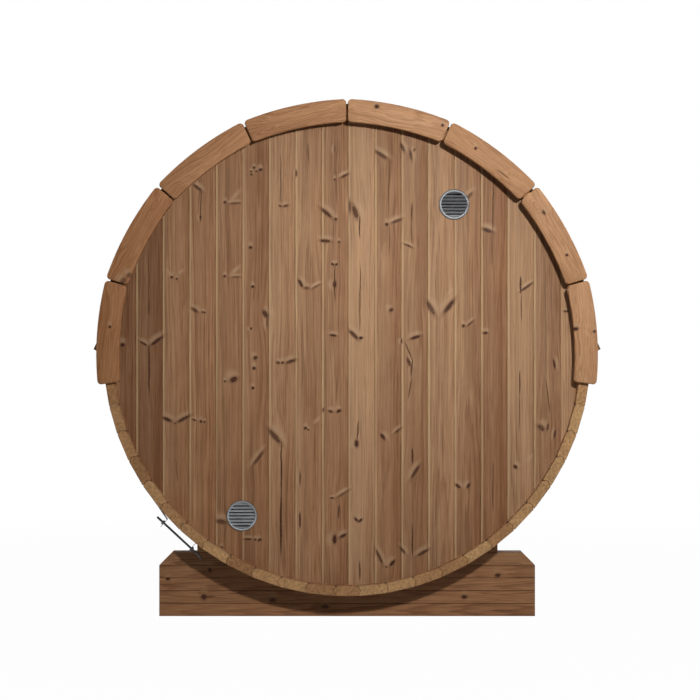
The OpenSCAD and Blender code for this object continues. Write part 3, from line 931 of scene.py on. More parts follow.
@dataclass
class Carpentry:
    """Turns wooden CAD nodes into planks with their own grain."""

    slot: str
    grain: Grain
    finish: WoodFinish
    ease: float = 0.0015
    steps: int = 2
    pith_depth: Pair = (0.03, 0.09)
    pith_off: float = 0.02
    lean: float = 0.012
    log_length: float = 60.0
    seams: tuple[float, ...] = ()
    contrast: float = 0.2
    tone: Pair = (1.0, 0.5)
    shades: tuple[Pair, ...] = ()
    own_finish: Callable[[int], WoodFinish] | None = None
    end_facing: float = 0.75
    arris_facing: float = 0.4
    arris_level: float = 0.1

    def build(self, node: str, only: EdgeTest | None = None) -> bpy.types.Object:
        """Dresses one node.

        Args:
            node: Name of the CAD node.
            only: Test for the edges that are eased.

        Returns:
            The piece.
        """
        work = Workpiece(node)
        work.slice_at(self.seams)
        if self.ease:
            work.ease(self.ease, self.steps, only)
        plank_of = np.array(work.islands())
        mesh = work.mesh(self.ease > 0)
        self._write(mesh, node, plank_of)
        return hand_in(bpy.data.objects.new(mesh.name, mesh), self.slot, node)

    def _axes(self, spots: np.ndarray) -> np.ndarray:
        """Gives the axes across, through and along a plank.

        Args:
            spots: Corners of the plank.

        Returns:
            Three rows of unit vectors.
        """
        x, y, z = np.eye(3)
        middle = (spots.min(axis=0) + spots.max(axis=0)) / 2
        turn = barrel.angle(middle)
        out = np.array([math.cos(turn), 0.0, math.sin(turn)])
        round_ = np.array([-math.sin(turn), 0.0, math.cos(turn)])
        if self.grain is Grain.LONGEST:
            size = np.ptp(spots, axis=0)
            return np.array([x, y, z]) if size[2] > size[0] else np.array([z, y, x])
        return np.array({
            Grain.UP: (x, y, z), Grain.SPAN: (z, y, x), Grain.LENGTH: (z, x, y),
            Grain.STAVE: (round_, out, y), Grain.BLOCK: (out, y, round_)}[self.grain])

    def _write(self, mesh: bpy.types.Mesh, node: str, plank_of: np.ndarray) -> None:
        """Stores the grain of each plank on the mesh and gives it its materials.

        Args:
            mesh: Mesh of the piece.
            node: Name of its CAD node, which also seeds its planks.
            plank_of: Plank of each face.
        """
        count = len(mesh.polygons)
        corners, centres, normals = np.empty(count, int), np.empty(count * 3), np.empty(count * 3)
        mesh.polygons.foreach_get("loop_total", corners)
        mesh.polygons.foreach_get("center", centres)
        mesh.polygons.foreach_get("normal", normals)
        face_of_loop = np.repeat(np.arange(count), corners)
        verts = np.empty(len(mesh.loops), int)
        mesh.loops.foreach_get("vertex_index", verts)
        flat = np.empty(len(mesh.vertices) * 3)
        mesh.vertices.foreach_get("co", flat)
        spots = flat.reshape(-1, 3)[verts]
        if self.seams:
            layer = np.digitize(centres.reshape(-1, 3)[:, 2], self.seams)
            plank_of = plank_of * (len(self.seams) + 1) + layer
        from_left = {p: spots[(plank_of == p)[face_of_loop]].mean(axis=0)[0] for p in set(plank_of)}
        planks = sorted(from_left, key=from_left.get)
        grain, plank, end = np.empty((len(verts), 3)), np.empty((count, 3)), np.empty(count)
        arris, slots = np.empty(count), np.zeros(count, int)
        chance = random.Random(node)
        for order, number in enumerate(planks):
            faces = plank_of == number
            loops = faces[face_of_loop]
            axes = self._axes(spots[loops])
            middle = (spots[loops].min(axis=0) + spots[loops].max(axis=0)) / 2
            local = (spots[loops] - middle) @ axes.T
            off = chance.uniform(-self.pith_off, self.pith_off)
            local[:, 1] += chance.choice((-1, 1)) * chance.uniform(*self.pith_depth)
            local[:, 1] += local[:, 2] * chance.uniform(-self.lean, self.lean)
            local[:, 0] -= off
            local[:, 2] += chance.uniform(0, self.log_length)
            grain[loops] = local
            shade = (self.tone[0] + (chance.random() - 0.5) * self.contrast,
                     self.tone[1] + chance.random() - 0.5)
            plank[faces] = *(self.shades[order % len(self.shades)] if self.shades else shade), off
            facing = np.abs(normals.reshape(-1, 3)[faces] @ axes.T)
            slanted = facing[:, :2].min(axis=1) > self.arris_facing
            end[faces] = facing[:, 2] > self.end_facing
            arris[faces] = slanted & (facing[:, 2] < self.arris_level)
            slots[faces] = order
        for name, kind, domain, key, values in (
                ("grain", "FLOAT_VECTOR", "CORNER", "vector", grain),
                ("plank", "FLOAT_VECTOR", "FACE", "vector", plank),
                ("end", "FLOAT", "FACE", "value", end),
                ("arris", "FLOAT", "FACE", "value", arris)):
            mesh.attributes.new(name, kind, domain).data.foreach_set(key, values.ravel())
        if self.own_finish:
            for order in range(len(planks)):
                mesh.materials.append(self.own_finish(order).material())
            mesh.polygons.foreach_set("material_index", slots)
        else:
            mesh.materials.append(self.finish.material())


class Recipe:
    """A Geometry Nodes tree with named inputs that ends as a plain mesh."""

    def __init__(self, name: str, sizes: dict[str, float | int | Triple]) -> None:
        """Starts a tree.

        Args:
            name: Name of the tree.
            sizes: Its inputs, each with a value of its type.
        """
        kinds = {int: "NodeSocketInt", float: "NodeSocketFloat", tuple: "NodeSocketVector"}
        self.tree = bpy.data.node_groups.new(name, "GeometryNodeTree")
        self.sheet = NodeSheet(self.tree)
        for label, value in sizes.items():
            self.tree.interface.new_socket(label, in_out="INPUT", socket_type=kinds[type(value)])
        self.tree.interface.new_socket("Material", in_out="INPUT", socket_type="NodeSocketMaterial")
        self.tree.interface.new_socket("Geometry", in_out="OUTPUT", socket_type="NodeSocketGeometry")
        self.given = self.sheet.add("NodeGroupInput")
        self.sizes = sizes

    def __getitem__(self, label: str) -> Signal:
        """Gives an input by its name."""
        return self.given.output(label)

    def place(self) -> tuple[Signal, Signal, Signal]:
        """Gives the place of each point."""
        return self.sheet.add("GeometryNodeInputPosition").xyz()

    def move(self, geometry: Signal, spot: Signal) -> Signal:
        """Sets the place of each point."""
        return self.sheet.add("GeometryNodeSetPosition", inputs={"Geometry": geometry, "Position": spot})

    def keep(self, geometry: Signal, name: str, value: Signal) -> Signal:
        """Stores a value on each face under a name."""
        return self.sheet.add("GeometryNodeStoreNamedAttribute", {"data_type": "FLOAT", "domain": "FACE"}, {
            "Geometry": geometry, "Name": name, "Value": value})

    def chance(self, number: Signal, seed: Signal) -> Signal:
        """Gives a fixed random value from 0 to 1 for a number."""
        return self.sheet.add("FunctionNodeRandomValue", {"data_type": "FLOAT"}, {
            2: 0.0, 3: 1.0, "ID": number, "Seed": seed}, out=1)

    def slabs(self, points: Signal, across: int, along: int) -> Signal:
        """Puts a slab of unit size on each point.

        Args:
            points: The points.
            across: Corners of a slab in a row along X.
            along: Corners of a slab in a row along Y.

        Returns:
            The slabs, as real geometry.
        """
        slab = self.sheet.add("GeometryNodeMeshCube", inputs={
            "Size": (1, 1, 1), "Vertices X": across, "Vertices Y": along, "Vertices Z": 2})
        spread = self.sheet.add("GeometryNodeInstanceOnPoints", inputs={"Points": points, "Instance": slab})
        return self.sheet.add("GeometryNodeRealizeInstances", inputs={0: spread})

    def close(self, geometry: Signal) -> None:
        """Ends the tree with real geometry in its material."""
        real = self.sheet.add("GeometryNodeRealizeInstances", inputs={0: geometry})
        done = self.sheet.add("GeometryNodeSetMaterial", inputs={
            "Geometry": real, "Material": self["Material"]})
        self.sheet.add("NodeGroupOutput", inputs={0: done})

    def make(self, name: str, finish: Finish, **sizes: Any) -> bpy.types.Object:
        """Runs the tree.

        Args:
            name: Name of the piece.
            finish: Its finish.
            sizes: Inputs that differ from the tree's own values, with _ for a blank.

        Returns:
            The piece, as a plain mesh.
        """
        values = {**self.sizes, **{key.replace("_", " "): value for key, value in sizes.items()}}
        holder = bpy.data.objects.new(f"{name}_holder", bpy.data.meshes.new(name))
        bpy.context.scene.collection.objects.link(holder)
        modifier = holder.modifiers.new("recipe", "NODES")
        modifier.node_group = self.tree
        values["Material"] = finish.material()
        for item in self.tree.interface.items_tree:
            if item.in_out == "INPUT":
                modifier[item.identifier] = values[item.name]
        graph = bpy.context.evaluated_depsgraph_get()
        mesh = bpy.data.meshes.new_from_object(holder.evaluated_get(graph), depsgraph=graph)
        holder.modifiers.clear()
        bpy.data.objects.remove(holder)
        mesh.name = name
        return bpy.data.objects.new(name, mesh)


class ShingleRecipe(Recipe):
    """Courses of separate tabs over a plain first course, bent round the barrel and lapped up the slope."""

    corners: tuple[int, int] = (3, 9)
    most_courses: int = 37

    def __init__(self) -> None:
        """Builds the tree: tabs on a grid, each bent to its own course."""
        super().__init__("shingle_courses", {
            "Courses": 10, "Tabs": 7, "Length": 1.8, "Tab": 0.3, "Slot": 0.007, "Axis": 1.1, "Radius": 1.0,
            "Start": 0.09, "Pitch": 0.15, "Span": 0.17, "Stop": 1.57, "Rise": 0.007, "Thickness": 0.006,
            "Ragged": 0.004, "Side": 1.0, "Tone Seed": 5, "Ragged Seed": 9})
        sheet = self.sheet
        grid = sheet.add("GeometryNodeMeshGrid", inputs={
            "Size X": (self["Tabs"] - 1) * 2, "Size Y": (self["Courses"] - 1) * 2,
            "Vertices X": self["Tabs"], "Vertices Y": self["Courses"]})
        x, y, _ = self.place()
        from_corner = self.move(grid, sheet.point(x + self["Tabs"] - 1, y + self["Courses"] - 1, 0.0))
        tabs = self.slabs(from_corner, *self.corners)
        x, y, z = self.place()
        tab, course = (x / 2).rounded(), (y / 2).rounded()
        number = tab * self.most_courses + course
        start = (tab - (course % 2.0) * 0.5) * self["Tab"]
        gone = sheet.add("GeometryNodeDeleteGeometry", {"domain": "FACE"}, {
            "Geometry": tabs, "Selection": (start + self["Slot"]).over(self["Length"])})
        toned = self.keep(gone, "tone", self.chance(number, self["Tone Seed"]))
        slot = self["Slot"] * course.least(1.0)
        along = start + slot / 2 + (x - tab * 2 + 0.5) * (self["Tab"] - slot)
        along = along.most(0.0).least(self["Length"]) - self["Length"] / 2
        up = y - course * 2 + 0.5
        loose = self.chance(number, self["Ragged Seed"]) * self["Ragged"] * (1 - up)
        turn = (self["Start"] + course * self["Pitch"] + up * self["Span"] + loose).least(self["Stop"])
        share = (turn - self["Start"] - course * self["Pitch"]) / self["Span"]
        out = self["Radius"] + self["Rise"] * (1 - share) + (z + 0.5) * self["Thickness"]
        self.close(self.move(toned, sheet.point(
            self["Side"] * out * turn.cos(), self["Side"] * along, self["Axis"] + out * turn.sin())))


class CappingRecipe(Recipe):
    """Lapped pieces of roofing bent over the crown, one after the other along it."""

    corners: tuple[int, int] = (9, 3)

    def __init__(self) -> None:
        """Builds the tree: pieces on a line, each tilted over the one before."""
        super().__init__("capping_pieces", {
            "Pieces": 9, "Length": 1.8, "Axis": 1.1, "Radius": 1.01, "Half Angle": 0.085,
            "Lap": 0.03, "Thickness": 0.003, "Tilt": 0.003, "Tone Seed": 3})
        sheet = self.sheet
        line = sheet.add("GeometryNodeMeshLine", inputs={"Count": self["Pieces"], "Offset": (0, 2, 0)})
        pieces = self.slabs(line, *self.corners)
        x, y, z = self.place()
        number = (y / 2).rounded()
        toned = self.keep(pieces, "tone", self.chance(number, self["Tone Seed"]))
        share = y - number * 2 + 0.5
        pitch = self["Length"] / self["Pieces"]
        along = (number * pitch + share * (pitch + self["Lap"])).least(self["Length"]) - self["Length"] / 2
        turn = math.pi / 2 - x * 2 * self["Half Angle"]
        out = self["Radius"] + self["Tilt"] * (1 - share) + (z + 0.5) * self["Thickness"]
        self.close(self.move(toned, sheet.point(out * turn.cos(), along, self["Axis"] + out * turn.sin())))


class ThreadRecipe(Recipe):
    """A rod with a cut thread."""

    def __init__(self) -> None:
        """Builds the tree: a cylinder whose surface winds in and out."""
        super().__init__("threaded_rod", {
            "Radius": 0.005, "Length": 0.25, "Lead": 0.0015, "Depth": 0.0009, "Rings": 800, "Sides": 12,
            "Middle": (0.0, 0.0, 0.0), "Turn": (0.0, 0.0, 0.0)})
        sheet = self.sheet
        rod = sheet.add("GeometryNodeMeshCylinder", inputs={
            "Vertices": self["Sides"], "Side Segments": self["Rings"],
            "Radius": self["Radius"], "Depth": self["Length"]})
        x, y, z = self.place()
        wave = abs((z / self["Lead"] - y.turn_from(x) / math.tau) % 1.0 - 0.5) * 2
        share = 1 - wave * (self["Depth"] / self["Radius"])
        cut = self.move(rod, sheet.point(x * share, y * share, z))
        self.close(sheet.add("GeometryNodeTransform", inputs={
            "Geometry": cut, "Translation": self["Middle"], "Rotation": self["Turn"]}))


class ScrewRecipe(Recipe):
    """A row of screw heads with a hexagon socket, set on a face that looks to +Y."""

    def __init__(self) -> None:
        """Builds the tree: low cones on a line, each with a pressed-in hexagon."""
        super().__init__("screw_row", {
            "Count": 4, "First": (0.0, 0.0, 0.0), "Step": (0.05, 0.0, 0.0), "Sides": 18,
            "Radius": 0.0045, "Height": 0.0016, "Top Share": 0.62, "Socket": 0.0022, "Sink": -0.6})
        sheet = self.sheet
        flat = self["Radius"] * self["Top Share"]
        head = sheet.add("GeometryNodeMeshCone", inputs={
            "Vertices": self["Sides"], "Side Segments": 2, "Radius Top": flat,
            "Radius Bottom": self["Radius"], "Depth": self["Height"]})
        top = sheet.add("GeometryNodeExtrudeMesh", inputs={
            "Mesh": head, "Selection": head.output("Top"), "Offset Scale": 0.0})
        inner = sheet.add("GeometryNodeScaleElements", inputs={
            "Geometry": top, "Selection": top.output("Top"), "Scale": self["Socket"] / flat})
        sunk = sheet.add("GeometryNodeExtrudeMesh", inputs={
            "Mesh": inner, "Selection": top.output("Top"), "Offset Scale": self["Height"] * self["Sink"]})
        upright = sheet.add("GeometryNodeTransform", inputs={
            "Geometry": sunk, "Rotation": (-math.pi / 2, 0.0, 0.0)})
        line = sheet.add("GeometryNodeMeshLine", inputs={
            "Count": self["Count"], "Start Location": self["First"], "Offset": self["Step"]})
        self.close(sheet.add("GeometryNodeInstanceOnPoints", inputs={"Points": line, "Instance": upright}))


# Knots and cracks of the rear wall, read off the enlarged photograph, in the order of View.mark
WALL_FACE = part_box("rear_wall")[0].y
WALL_MARKS = tuple(VIEW.mark(WALL_FACE, *reading) for reading in (
    (197.5, 187.8, 4.5, 1.2, -40, 0.8), (200.9, 205, 17, 0.5, 90, 0.8), (200.4, 217.3, 2.4, 0.8, 90, 1),
    (171.8, 277.2, 1.3, 1.2, 0, 1), (176.7, 278.8, 1, 0.9, 0, 0.9), (225.1, 202.2, 1.3, 1.2, 0, 1),
    (224.6, 276.2, 1.2, 1.1, 0, 1), (148.6, 280, 30, 0.6, 90, 0.6), (254.1, 167.7, 1.1, 1, 0, 1),
    (251.1, 171.7, 1, 0.9, 0, 0.9), (251.4, 174.5, 1.2, 1, 0, 1), (256.4, 171.2, 0.9, 0.9, 0, 0.8),
    (260.7, 169.7, 1.7, 1.3, 15, 1), (280.9, 180, 25, 0.5, 90, 0.7), (280.1, 205.9, 1.4, 0.9, -30, 0.9),
    (285.7, 205.9, 2.4, 1.1, 15, 0.8), (296.4, 173.3, 2.6, 0.8, 90, 0.8), (308.2, 153, 9, 0.8, 90, 0.5),
    (334.7, 149, 3, 0.8, 90, 0.5), (334.7, 179.4, 1, 1, 0, 1), (344.4, 175.8, 3.8, 1.1, 28, 0.9),
    (326.5, 213, 6.3, 1.6, -42, 0.9), (335.7, 219.2, 1.3, 1.2, 0, 1), (325.5, 240.9, 4.6, 1.4, -5, 0.9),
    (339.1, 241.9, 1.1, 1, 0, 0.9), (332.7, 264.3, 1.5, 1, -35, 1), (336.5, 264.3, 1.5, 1, 35, 1),
    (250.5, 247.4, 1.5, 1.4, 0, 1), (235.2, 203.3, 5, 0.9, 4, 0.6), (355.2, 212, 6, 2.2, -70, 0.8),
    (359.6, 227, 11, 0.7, 90, 0.9), (349.8, 207, 5.5, 0.9, 90, 0.7), (381.2, 154.9, 6.4, 1.6, -33, 0.8),
    (389, 186, 31, 0.5, 90, 0.6), (386.8, 224.3, 1.5, 1.4, 0, 1), (396.5, 221, 4.8, 1.3, 21, 0.8),
    (389.4, 240, 14, 0.5, 90, 0.6), (402.5, 147.5, 4, 1.3, -65, 0.8), (410.8, 154.9, 4.6, 1.1, -80, 0.8),
    (414.4, 149.8, 1.4, 0.8, 60, 0.7), (412.1, 212, 9, 0.7, 90, 0.9), (411.4, 232, 11, 0.5, 90, 0.7),
    (408.3, 245.7, 4, 0.9, -24, 0.8), (469.5, 195.7, 4, 1.3, 50, 0.6), (493, 205, 28, 0.5, 90, 0.8),
    (487.5, 230.4, 4.5, 1.7, -20, 0.9), (520.5, 285, 8.5, 1, 90, 0.9), (527, 286.8, 6.7, 1, 35, 0.8),
    (521.5, 307, 13, 0.5, 90, 0.7), (565.9, 311.3, 2, 0.9, 0, 0.8), (545.2, 290, 38, 0.7, 90, 0.4),
    (148.8, 307, 8, 0.8, 90, 0.7), (149, 368, 24, 0.9, 90, 0.9), (143.3, 343.4, 4, 1, -33, 0.9),
    (157, 340.8, 6.5, 1.5, 37, 1), (122.6, 344.9, 2, 1.8, 0, 1), (194.8, 310.2, 3.5, 1.3, -35, 0.8),
    (202.4, 312.2, 0.9, 0.9, 0, 0.9), (204.6, 312.4, 1, 0.8, 0, 0.9), (167.2, 419.4, 4.4, 1.5, -25, 1),
    (183.6, 418.9, 6.4, 1.4, 28, 0.9), (175.2, 423.2, 0.8, 0.8, 0, 1), (194.3, 419.9, 2, 0.8, -20, 0.8),
    (200.9, 421.4, 1.2, 1.2, 0, 1), (204.5, 421.9, 1, 0.9, 0, 0.9), (224.9, 381.3, 1, 0.9, 0, 0.9),
    (252.8, 286.7, 1.3, 1.2, 0, 1), (265.3, 314, 3.8, 2, -60, 0.9), (267, 322, 5, 0.8, 90, 0.6),
    (251, 328.5, 1.1, 1, 90, 0.9), (255.4, 357.7, 1.8, 1.5, 30, 1), (254.1, 368.3, 1.5, 1.4, 0, 1),
    (252.9, 388, 1.2, 1.2, 0, 1), (233.7, 379.5, 3.6, 2.3, 25, 1), (278.1, 362.7, 1.8, 1.1, -20, 0.9),
    (282.7, 362.7, 1.3, 1.1, 20, 0.9), (290.8, 361.4, 4.5, 1.4, 20, 0.9),
    (300.5, 283.4, 3.8, 1.4, -62, 1), (306.6, 288, 2.5, 1.2, 0, 0.6), (316, 286.5, 4, 0.9, 30, 0.5),
    (334.8, 283, 18, 0.6, 90, 0.9), (334.7, 284.4, 3.3, 1.6, 90, 1), (333.2, 335.4, 3.1, 1.1, -8, 1),
    (323.5, 409.9, 1.8, 0.8, 80, 0.7), (330.6, 411.4, 2.2, 1.2, -15, 0.9),
    (338.8, 411.1, 2.2, 1.4, 25, 1), (236.2, 277, 4, 0.8, 3, 0.5), (360, 296, 32, 0.6, 90, 0.8),
    (353.7, 334.9, 5.6, 1.6, -45, 0.9), (360.8, 338, 1.8, 1.3, 15, 1), (391.1, 309.9, 2, 1.5, 40, 1),
    (415.4, 337.4, 4.6, 1.4, 18, 1), (401.6, 341, 2, 0.8, 90, 0.7), (408.6, 351, 9.5, 0.6, -68, 0.9),
    (412, 367, 9, 0.7, 86, 0.9), (409.8, 388, 10, 0.6, 80, 0.8), (408.8, 361.9, 4, 1.3, -70, 0.9),
    (430.7, 307.9, 7, 1.9, -60, 0.8), (449.1, 306.3, 7.5, 2, 53, 0.9), (463.4, 325.9, 1.4, 1.3, 0, 1),
    (470.5, 323.2, 4, 0.9, 40, 0.7), (485.3, 333, 2.3, 1.2, 0, 0.9), (519.9, 383, 12, 0.8, 90, 0.8),
    (519.5, 412, 18, 0.6, 90, 0.6), (554.2, 363.9, 4.5, 1.1, -80, 0.9), (546, 350, 30, 0.6, 90, 0.4),
    (548, 396, 16, 0.7, -85, 0.7), (541, 427.5, 3.5, 2, -35, 0.7), (542.4, 430.2, 1, 0.9, 0, 1),
    (547.6, 427, 3, 1, 80, 0.8), (554.7, 434.3, 4, 0.9, 80, 0.9), (515.4, 466.9, 2, 1.4, -50, 1),
    (493, 472, 10, 0.6, 90, 0.6), (258.5, 457.9, 7.8, 1.3, 53, 0.8), (221.4, 521.7, 4.5, 2, -10, 0.7),
    (247.8, 539.1, 3.5, 0.9, 0, 1), (255.4, 539.6, 1, 1, 0, 1), (259.6, 539.8, 1.9, 1.1, 25, 1),
    (221.4, 547.5, 1.1, 1.1, 0, 1), (176.8, 470, 11, 0.6, -85, 0.5), (274.6, 436.3, 8, 2.1, -50, 0.8),
    (281.2, 470, 28, 0.7, 90, 1), (281, 522, 30, 1, 90, 1), (305.5, 428.2, 1.4, 1.3, 0, 1),
    (308.3, 429.7, 1, 0.8, 0, 0.9), (300.1, 478.2, 5.5, 0.8, 90, 0.6), (299.9, 520, 8, 1, 90, 0.9),
    (357.9, 430, 9, 0.7, 87, 0.9), (356.5, 443.5, 3.3, 1.8, 90, 1), (332.2, 498, 2, 0.8, 0, 0.8),
    (343, 493.8, 6, 1, 32, 0.5), (338.9, 511.8, 6.5, 0.9, 88, 0.8), (334.5, 539.4, 4.2, 1.9, 88, 1),
    (343, 535.8, 3.6, 1.3, 30, 1), (356.2, 519.5, 2.3, 1.1, -50, 1), (360.3, 520.5, 2.3, 1.1, 40, 1),
    (359.6, 571, 9, 0.8, 90, 0.8), (382.8, 436.8, 3.3, 1.4, -55, 1), (398, 430.5, 3.6, 1, 40, 0.8),
    (379.2, 556.7, 7, 1.2, -65, 0.8), (392.5, 562.9, 3.5, 1.5, 50, 1), (386.3, 566.9, 0.8, 0.8, 0, 1),
    (415.4, 471.7, 7, 1.4, 58, 0.9), (412.5, 456, 8, 0.9, 90, 0.9), (402.4, 550.1, 4, 1.1, -50, 0.8),
    (423, 552.5, 5.6, 1.4, 30, 0.9), (412.5, 541, 16, 0.7, 90, 0.9), (457.9, 486, 2.7, 1.3, -40, 1),
    (468.5, 485.6, 2.7, 1.3, 60, 1), (492.9, 491, 19, 0.6, 90, 0.8)))

# Pale strokes beside the knots of the rear wall
WALL_STROKES = tuple(Mark(*row, -0.6) for row in (
    (-460, 646, 38, 9, 49), (-460, 339, 32, 9, 43), (-128, 281, 25, 8, 27), (-17, 736, 22, 7, 28),
    (152, 820, 28, 7, -33), (190, 546, 22, 7, 25), (424, 251, 22, 9, 50), (513, 662, 22, 9, 50),
    (586, 513, 23, 7, -25), (734, 280, 28, 7, 35), (-734, 331, 18, 7, -63), (-682, 333, 18, 7, 34),
    (-606, 687, 20, 7, -40), (-124, -277, 22, 9, 45), (750, -432, 22, 9, 50), (-20, -571, 28, 7, 32)))

TRIM_MARKS = tuple(Mark(*row) for row in (
    (121, 1002, 8, 7, 0, 1), (389, 926, 5, 5, 0, 1), (523, 832, 5, 5, 0, 1), (635, 726, 30, 4, -35, 0.6),
    (801, 570, 9, 5, -55, 0.9), (895, 397, 5, 5, 0, 1), (930, 96, 11, 6, 10, 1), (1007, 86, 5, 5, 0, 0.9),
    (-966, 105, 5, 5, 0, 1), (-911, 292, 14, 8, 50, 0.5), (-888, 315, 10, 7, 30, 0.5)))

# Oval rings in the trim: the last number counts them
TRIM_EYES = tuple(Mark(*row) for row in (
    (-689, 663, 46, 36, 50, 4.0), (-785, 601, 46, 16, 60, 2.0), (772, 597, 44, 24, -50, 2.5),
    (-330, 905, 70, 18, 25, 2.0)))

CRADLE_MARKS = tuple(Mark(*row) for row in (
    (-572, -907, 7, 8, 10, 1), (-597, -1019, 11, 10, 0, 1), (-580, -1019, 30, 4, 5, 0.6),
    (-311, -1032, 12, 8, 0, 1), (-92, -1059, 14, 7, 0, 1), (489, -1019, 10, 7, 0, 1),
    (628, -929, 10, 7, 15, 1), (-747, -944, 8, 5, 0, 1)))

STAVE_WOOD = WoodFinish("planed_stave", pale="a2805c", warm="9a6a45", end="c69c6c", ring=0.0045, painted_joint_shade=0.6)
BOARD_WOOD = WoodFinish("wall_board", side_red=0.12, low_red=0.14, half_width=0.0545, scatter=0.45, flow=0.8)
LEAF_WOOD = replace(BOARD_WOOD, name="door_board", half_width=0.0553)
TRIM_WOOD = WoodFinish(
    "trim_block", pale="b98d67", warm="aa7248", end="a9753c", ring=0.008, ring_depth=0.17, wander=0.05,
    swirl=4.0, streak_depth=0.08, dash_depth=0.12, marks=TRIM_MARKS, eyes=TRIM_EYES,
    mark_y=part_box("rear_trim_right_1")[0].y)
JOINERY_WOOD = replace(
    TRIM_WOOD, name="door_joinery", marks=(), eyes=(), scatter=0.1, ring=0.005, wander=0.02, swirl=1.3)
LAMINATION = 0.053
CRADLE_WOOD = WoodFinish(
    "laminated_cradle", pale="a57e5a", warm="9c6c49", end="8a5f3a", ring=0.0045, ring_depth=0.24,
    wander=0.012, seam=LAMINATION, feather="a67f58", marks=CRADLE_MARKS, mark_y=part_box("rear_cradle")[0].y)
HOOP_STEEL = MetalFinish("strap_steel", bright="6e7073", dull="48494b", metallic=0.5, roughness=0.5)
VENT_METAL = MetalFinish(
    "satin_aluminium", bright="eef0f2", dull="e0e3e6", metallic=0.1, roughness=0.5, brush=(500, 500, 60))
# Lit and shaded copies of one metal: painted shade on the upper vent's blades and the lower vent's ring,
# painted light on the lower vent's blades
SHADED_BLADES = replace(VENT_METAL, name="upper_vent_blades", bright="767779", dull="6b6c6d")
PAINTED_LIGHT_BLADES = replace(VENT_METAL, name="lower_vent_blades", bright="9a9c9e", dull="8e9092")
# Painted shade on the eased outer rim of each vent ring
PAINTED_SHADE_RIM = replace(VENT_METAL, name="vent_rim", bright="4a4c4f", dull="3e4042")
PAINTED_SHADE_RING = replace(VENT_METAL, name="lower_vent_ring", bright="b3b7bb", dull="a6aaae")
HINGE_STEEL = MetalFinish("black_powder_coat", bright="1d1d1e", dull="131314", metallic=0.0, roughness=0.5)
ROOFING = RoofingFinish("mineral_roofing")


def beyond(place: float) -> EdgeTest:
    """Gives a test for edges that lie near either end of the barrel.

    Args:
        place: Distance from the middle of the barrel.

    Returns:
        The test.
    """
    return lambda edge: all(abs(v.co.y) > place for v in edge.verts)


@dataclass
class Shell:
    """The ring of staves."""

    end_ease: float = 0.0016
    contrast: float = 0.1
    # Shade and warmth of each node: partly the staves' own tone, partly painted shade on the left and painted
    # light on the right
    tones_with_painted_light: tuple[tuple[str, float, float], ...] = (
        ("bottom_stave", 1.0, 0.5), ("left_lower_staves", 0.97, 0.6), ("left_middle_staves", 0.99, 0.65),
        ("left_upper_staves", 0.95, 0.6), ("right_lower_staves", 0.97, 0.5),
        ("right_middle_staves", 1.06, 0.35), ("right_upper_staves", 1.0, 0.4), ("crown_stave", 0.95, 0.6))

    def build(self) -> None:
        """Dresses the staves, each node with its tone, partly painted shade and light, and eased ends."""
        craft = Carpentry("stave_wood", Grain.STAVE, STAVE_WOOD, self.end_ease, 1, contrast=self.contrast)
        for node, shade, warmth in self.tones_with_painted_light:
            replace(craft, tone=(shade, warmth)).build(node, beyond(barrel.half_length - MM))


@dataclass
class EndWalls:
    """The boarded walls at both ends."""

    board: float = 0.109
    shift: float = 0.004
    first: int = -9
    shades: tuple[Pair, ...] = (
        (0.82, 0.8), (0.74, 0.9), (1.0, 0.5), (1.09, 0.5), (0.96, 0.55), (0.94, 0.6),
        (1.07, 0.25), (1.06, 0.25), (0.99, 0.45), (1.13, -0.2), (0.94, 0.5), (0.89, 0.45),
        (1.06, 0.1), (0.96, 0.4), (0.9, 0.75), (1.11, -0.15), (0.98, 0.3), (1.3, -0.05))
    front: tuple[str, ...] = ("front_wall_left", "front_wall_right", "front_wall_head", "front_wall_sill")

    def rear_board(self, order: int) -> WoodFinish:
        """Gives a rear board its own knots.

        Args:
            order: Number of the board from the left.

        Returns:
            Its finish.
        """
        left = (self.shift + (self.first + order) * self.board) / MM
        right = left + self.board / MM
        own = tuple(m for m in WALL_MARKS + WALL_STROKES if left - m.reach < m.x < right + m.reach)
        return replace(BOARD_WOOD, name=f"rear_board_{order + 1}", scatter=0.0, marks=own, mark_y=WALL_FACE)

    def build(self) -> None:
        """Dresses the boards of both walls."""
        Carpentry("board_wood", Grain.UP, BOARD_WOOD, 0.0, shades=self.shades,
                  own_finish=self.rear_board).build("rear_wall")
        front = Carpentry("board_wood", Grain.UP, BOARD_WOOD, 0.0)
        for node in self.front:
            front.build(node)


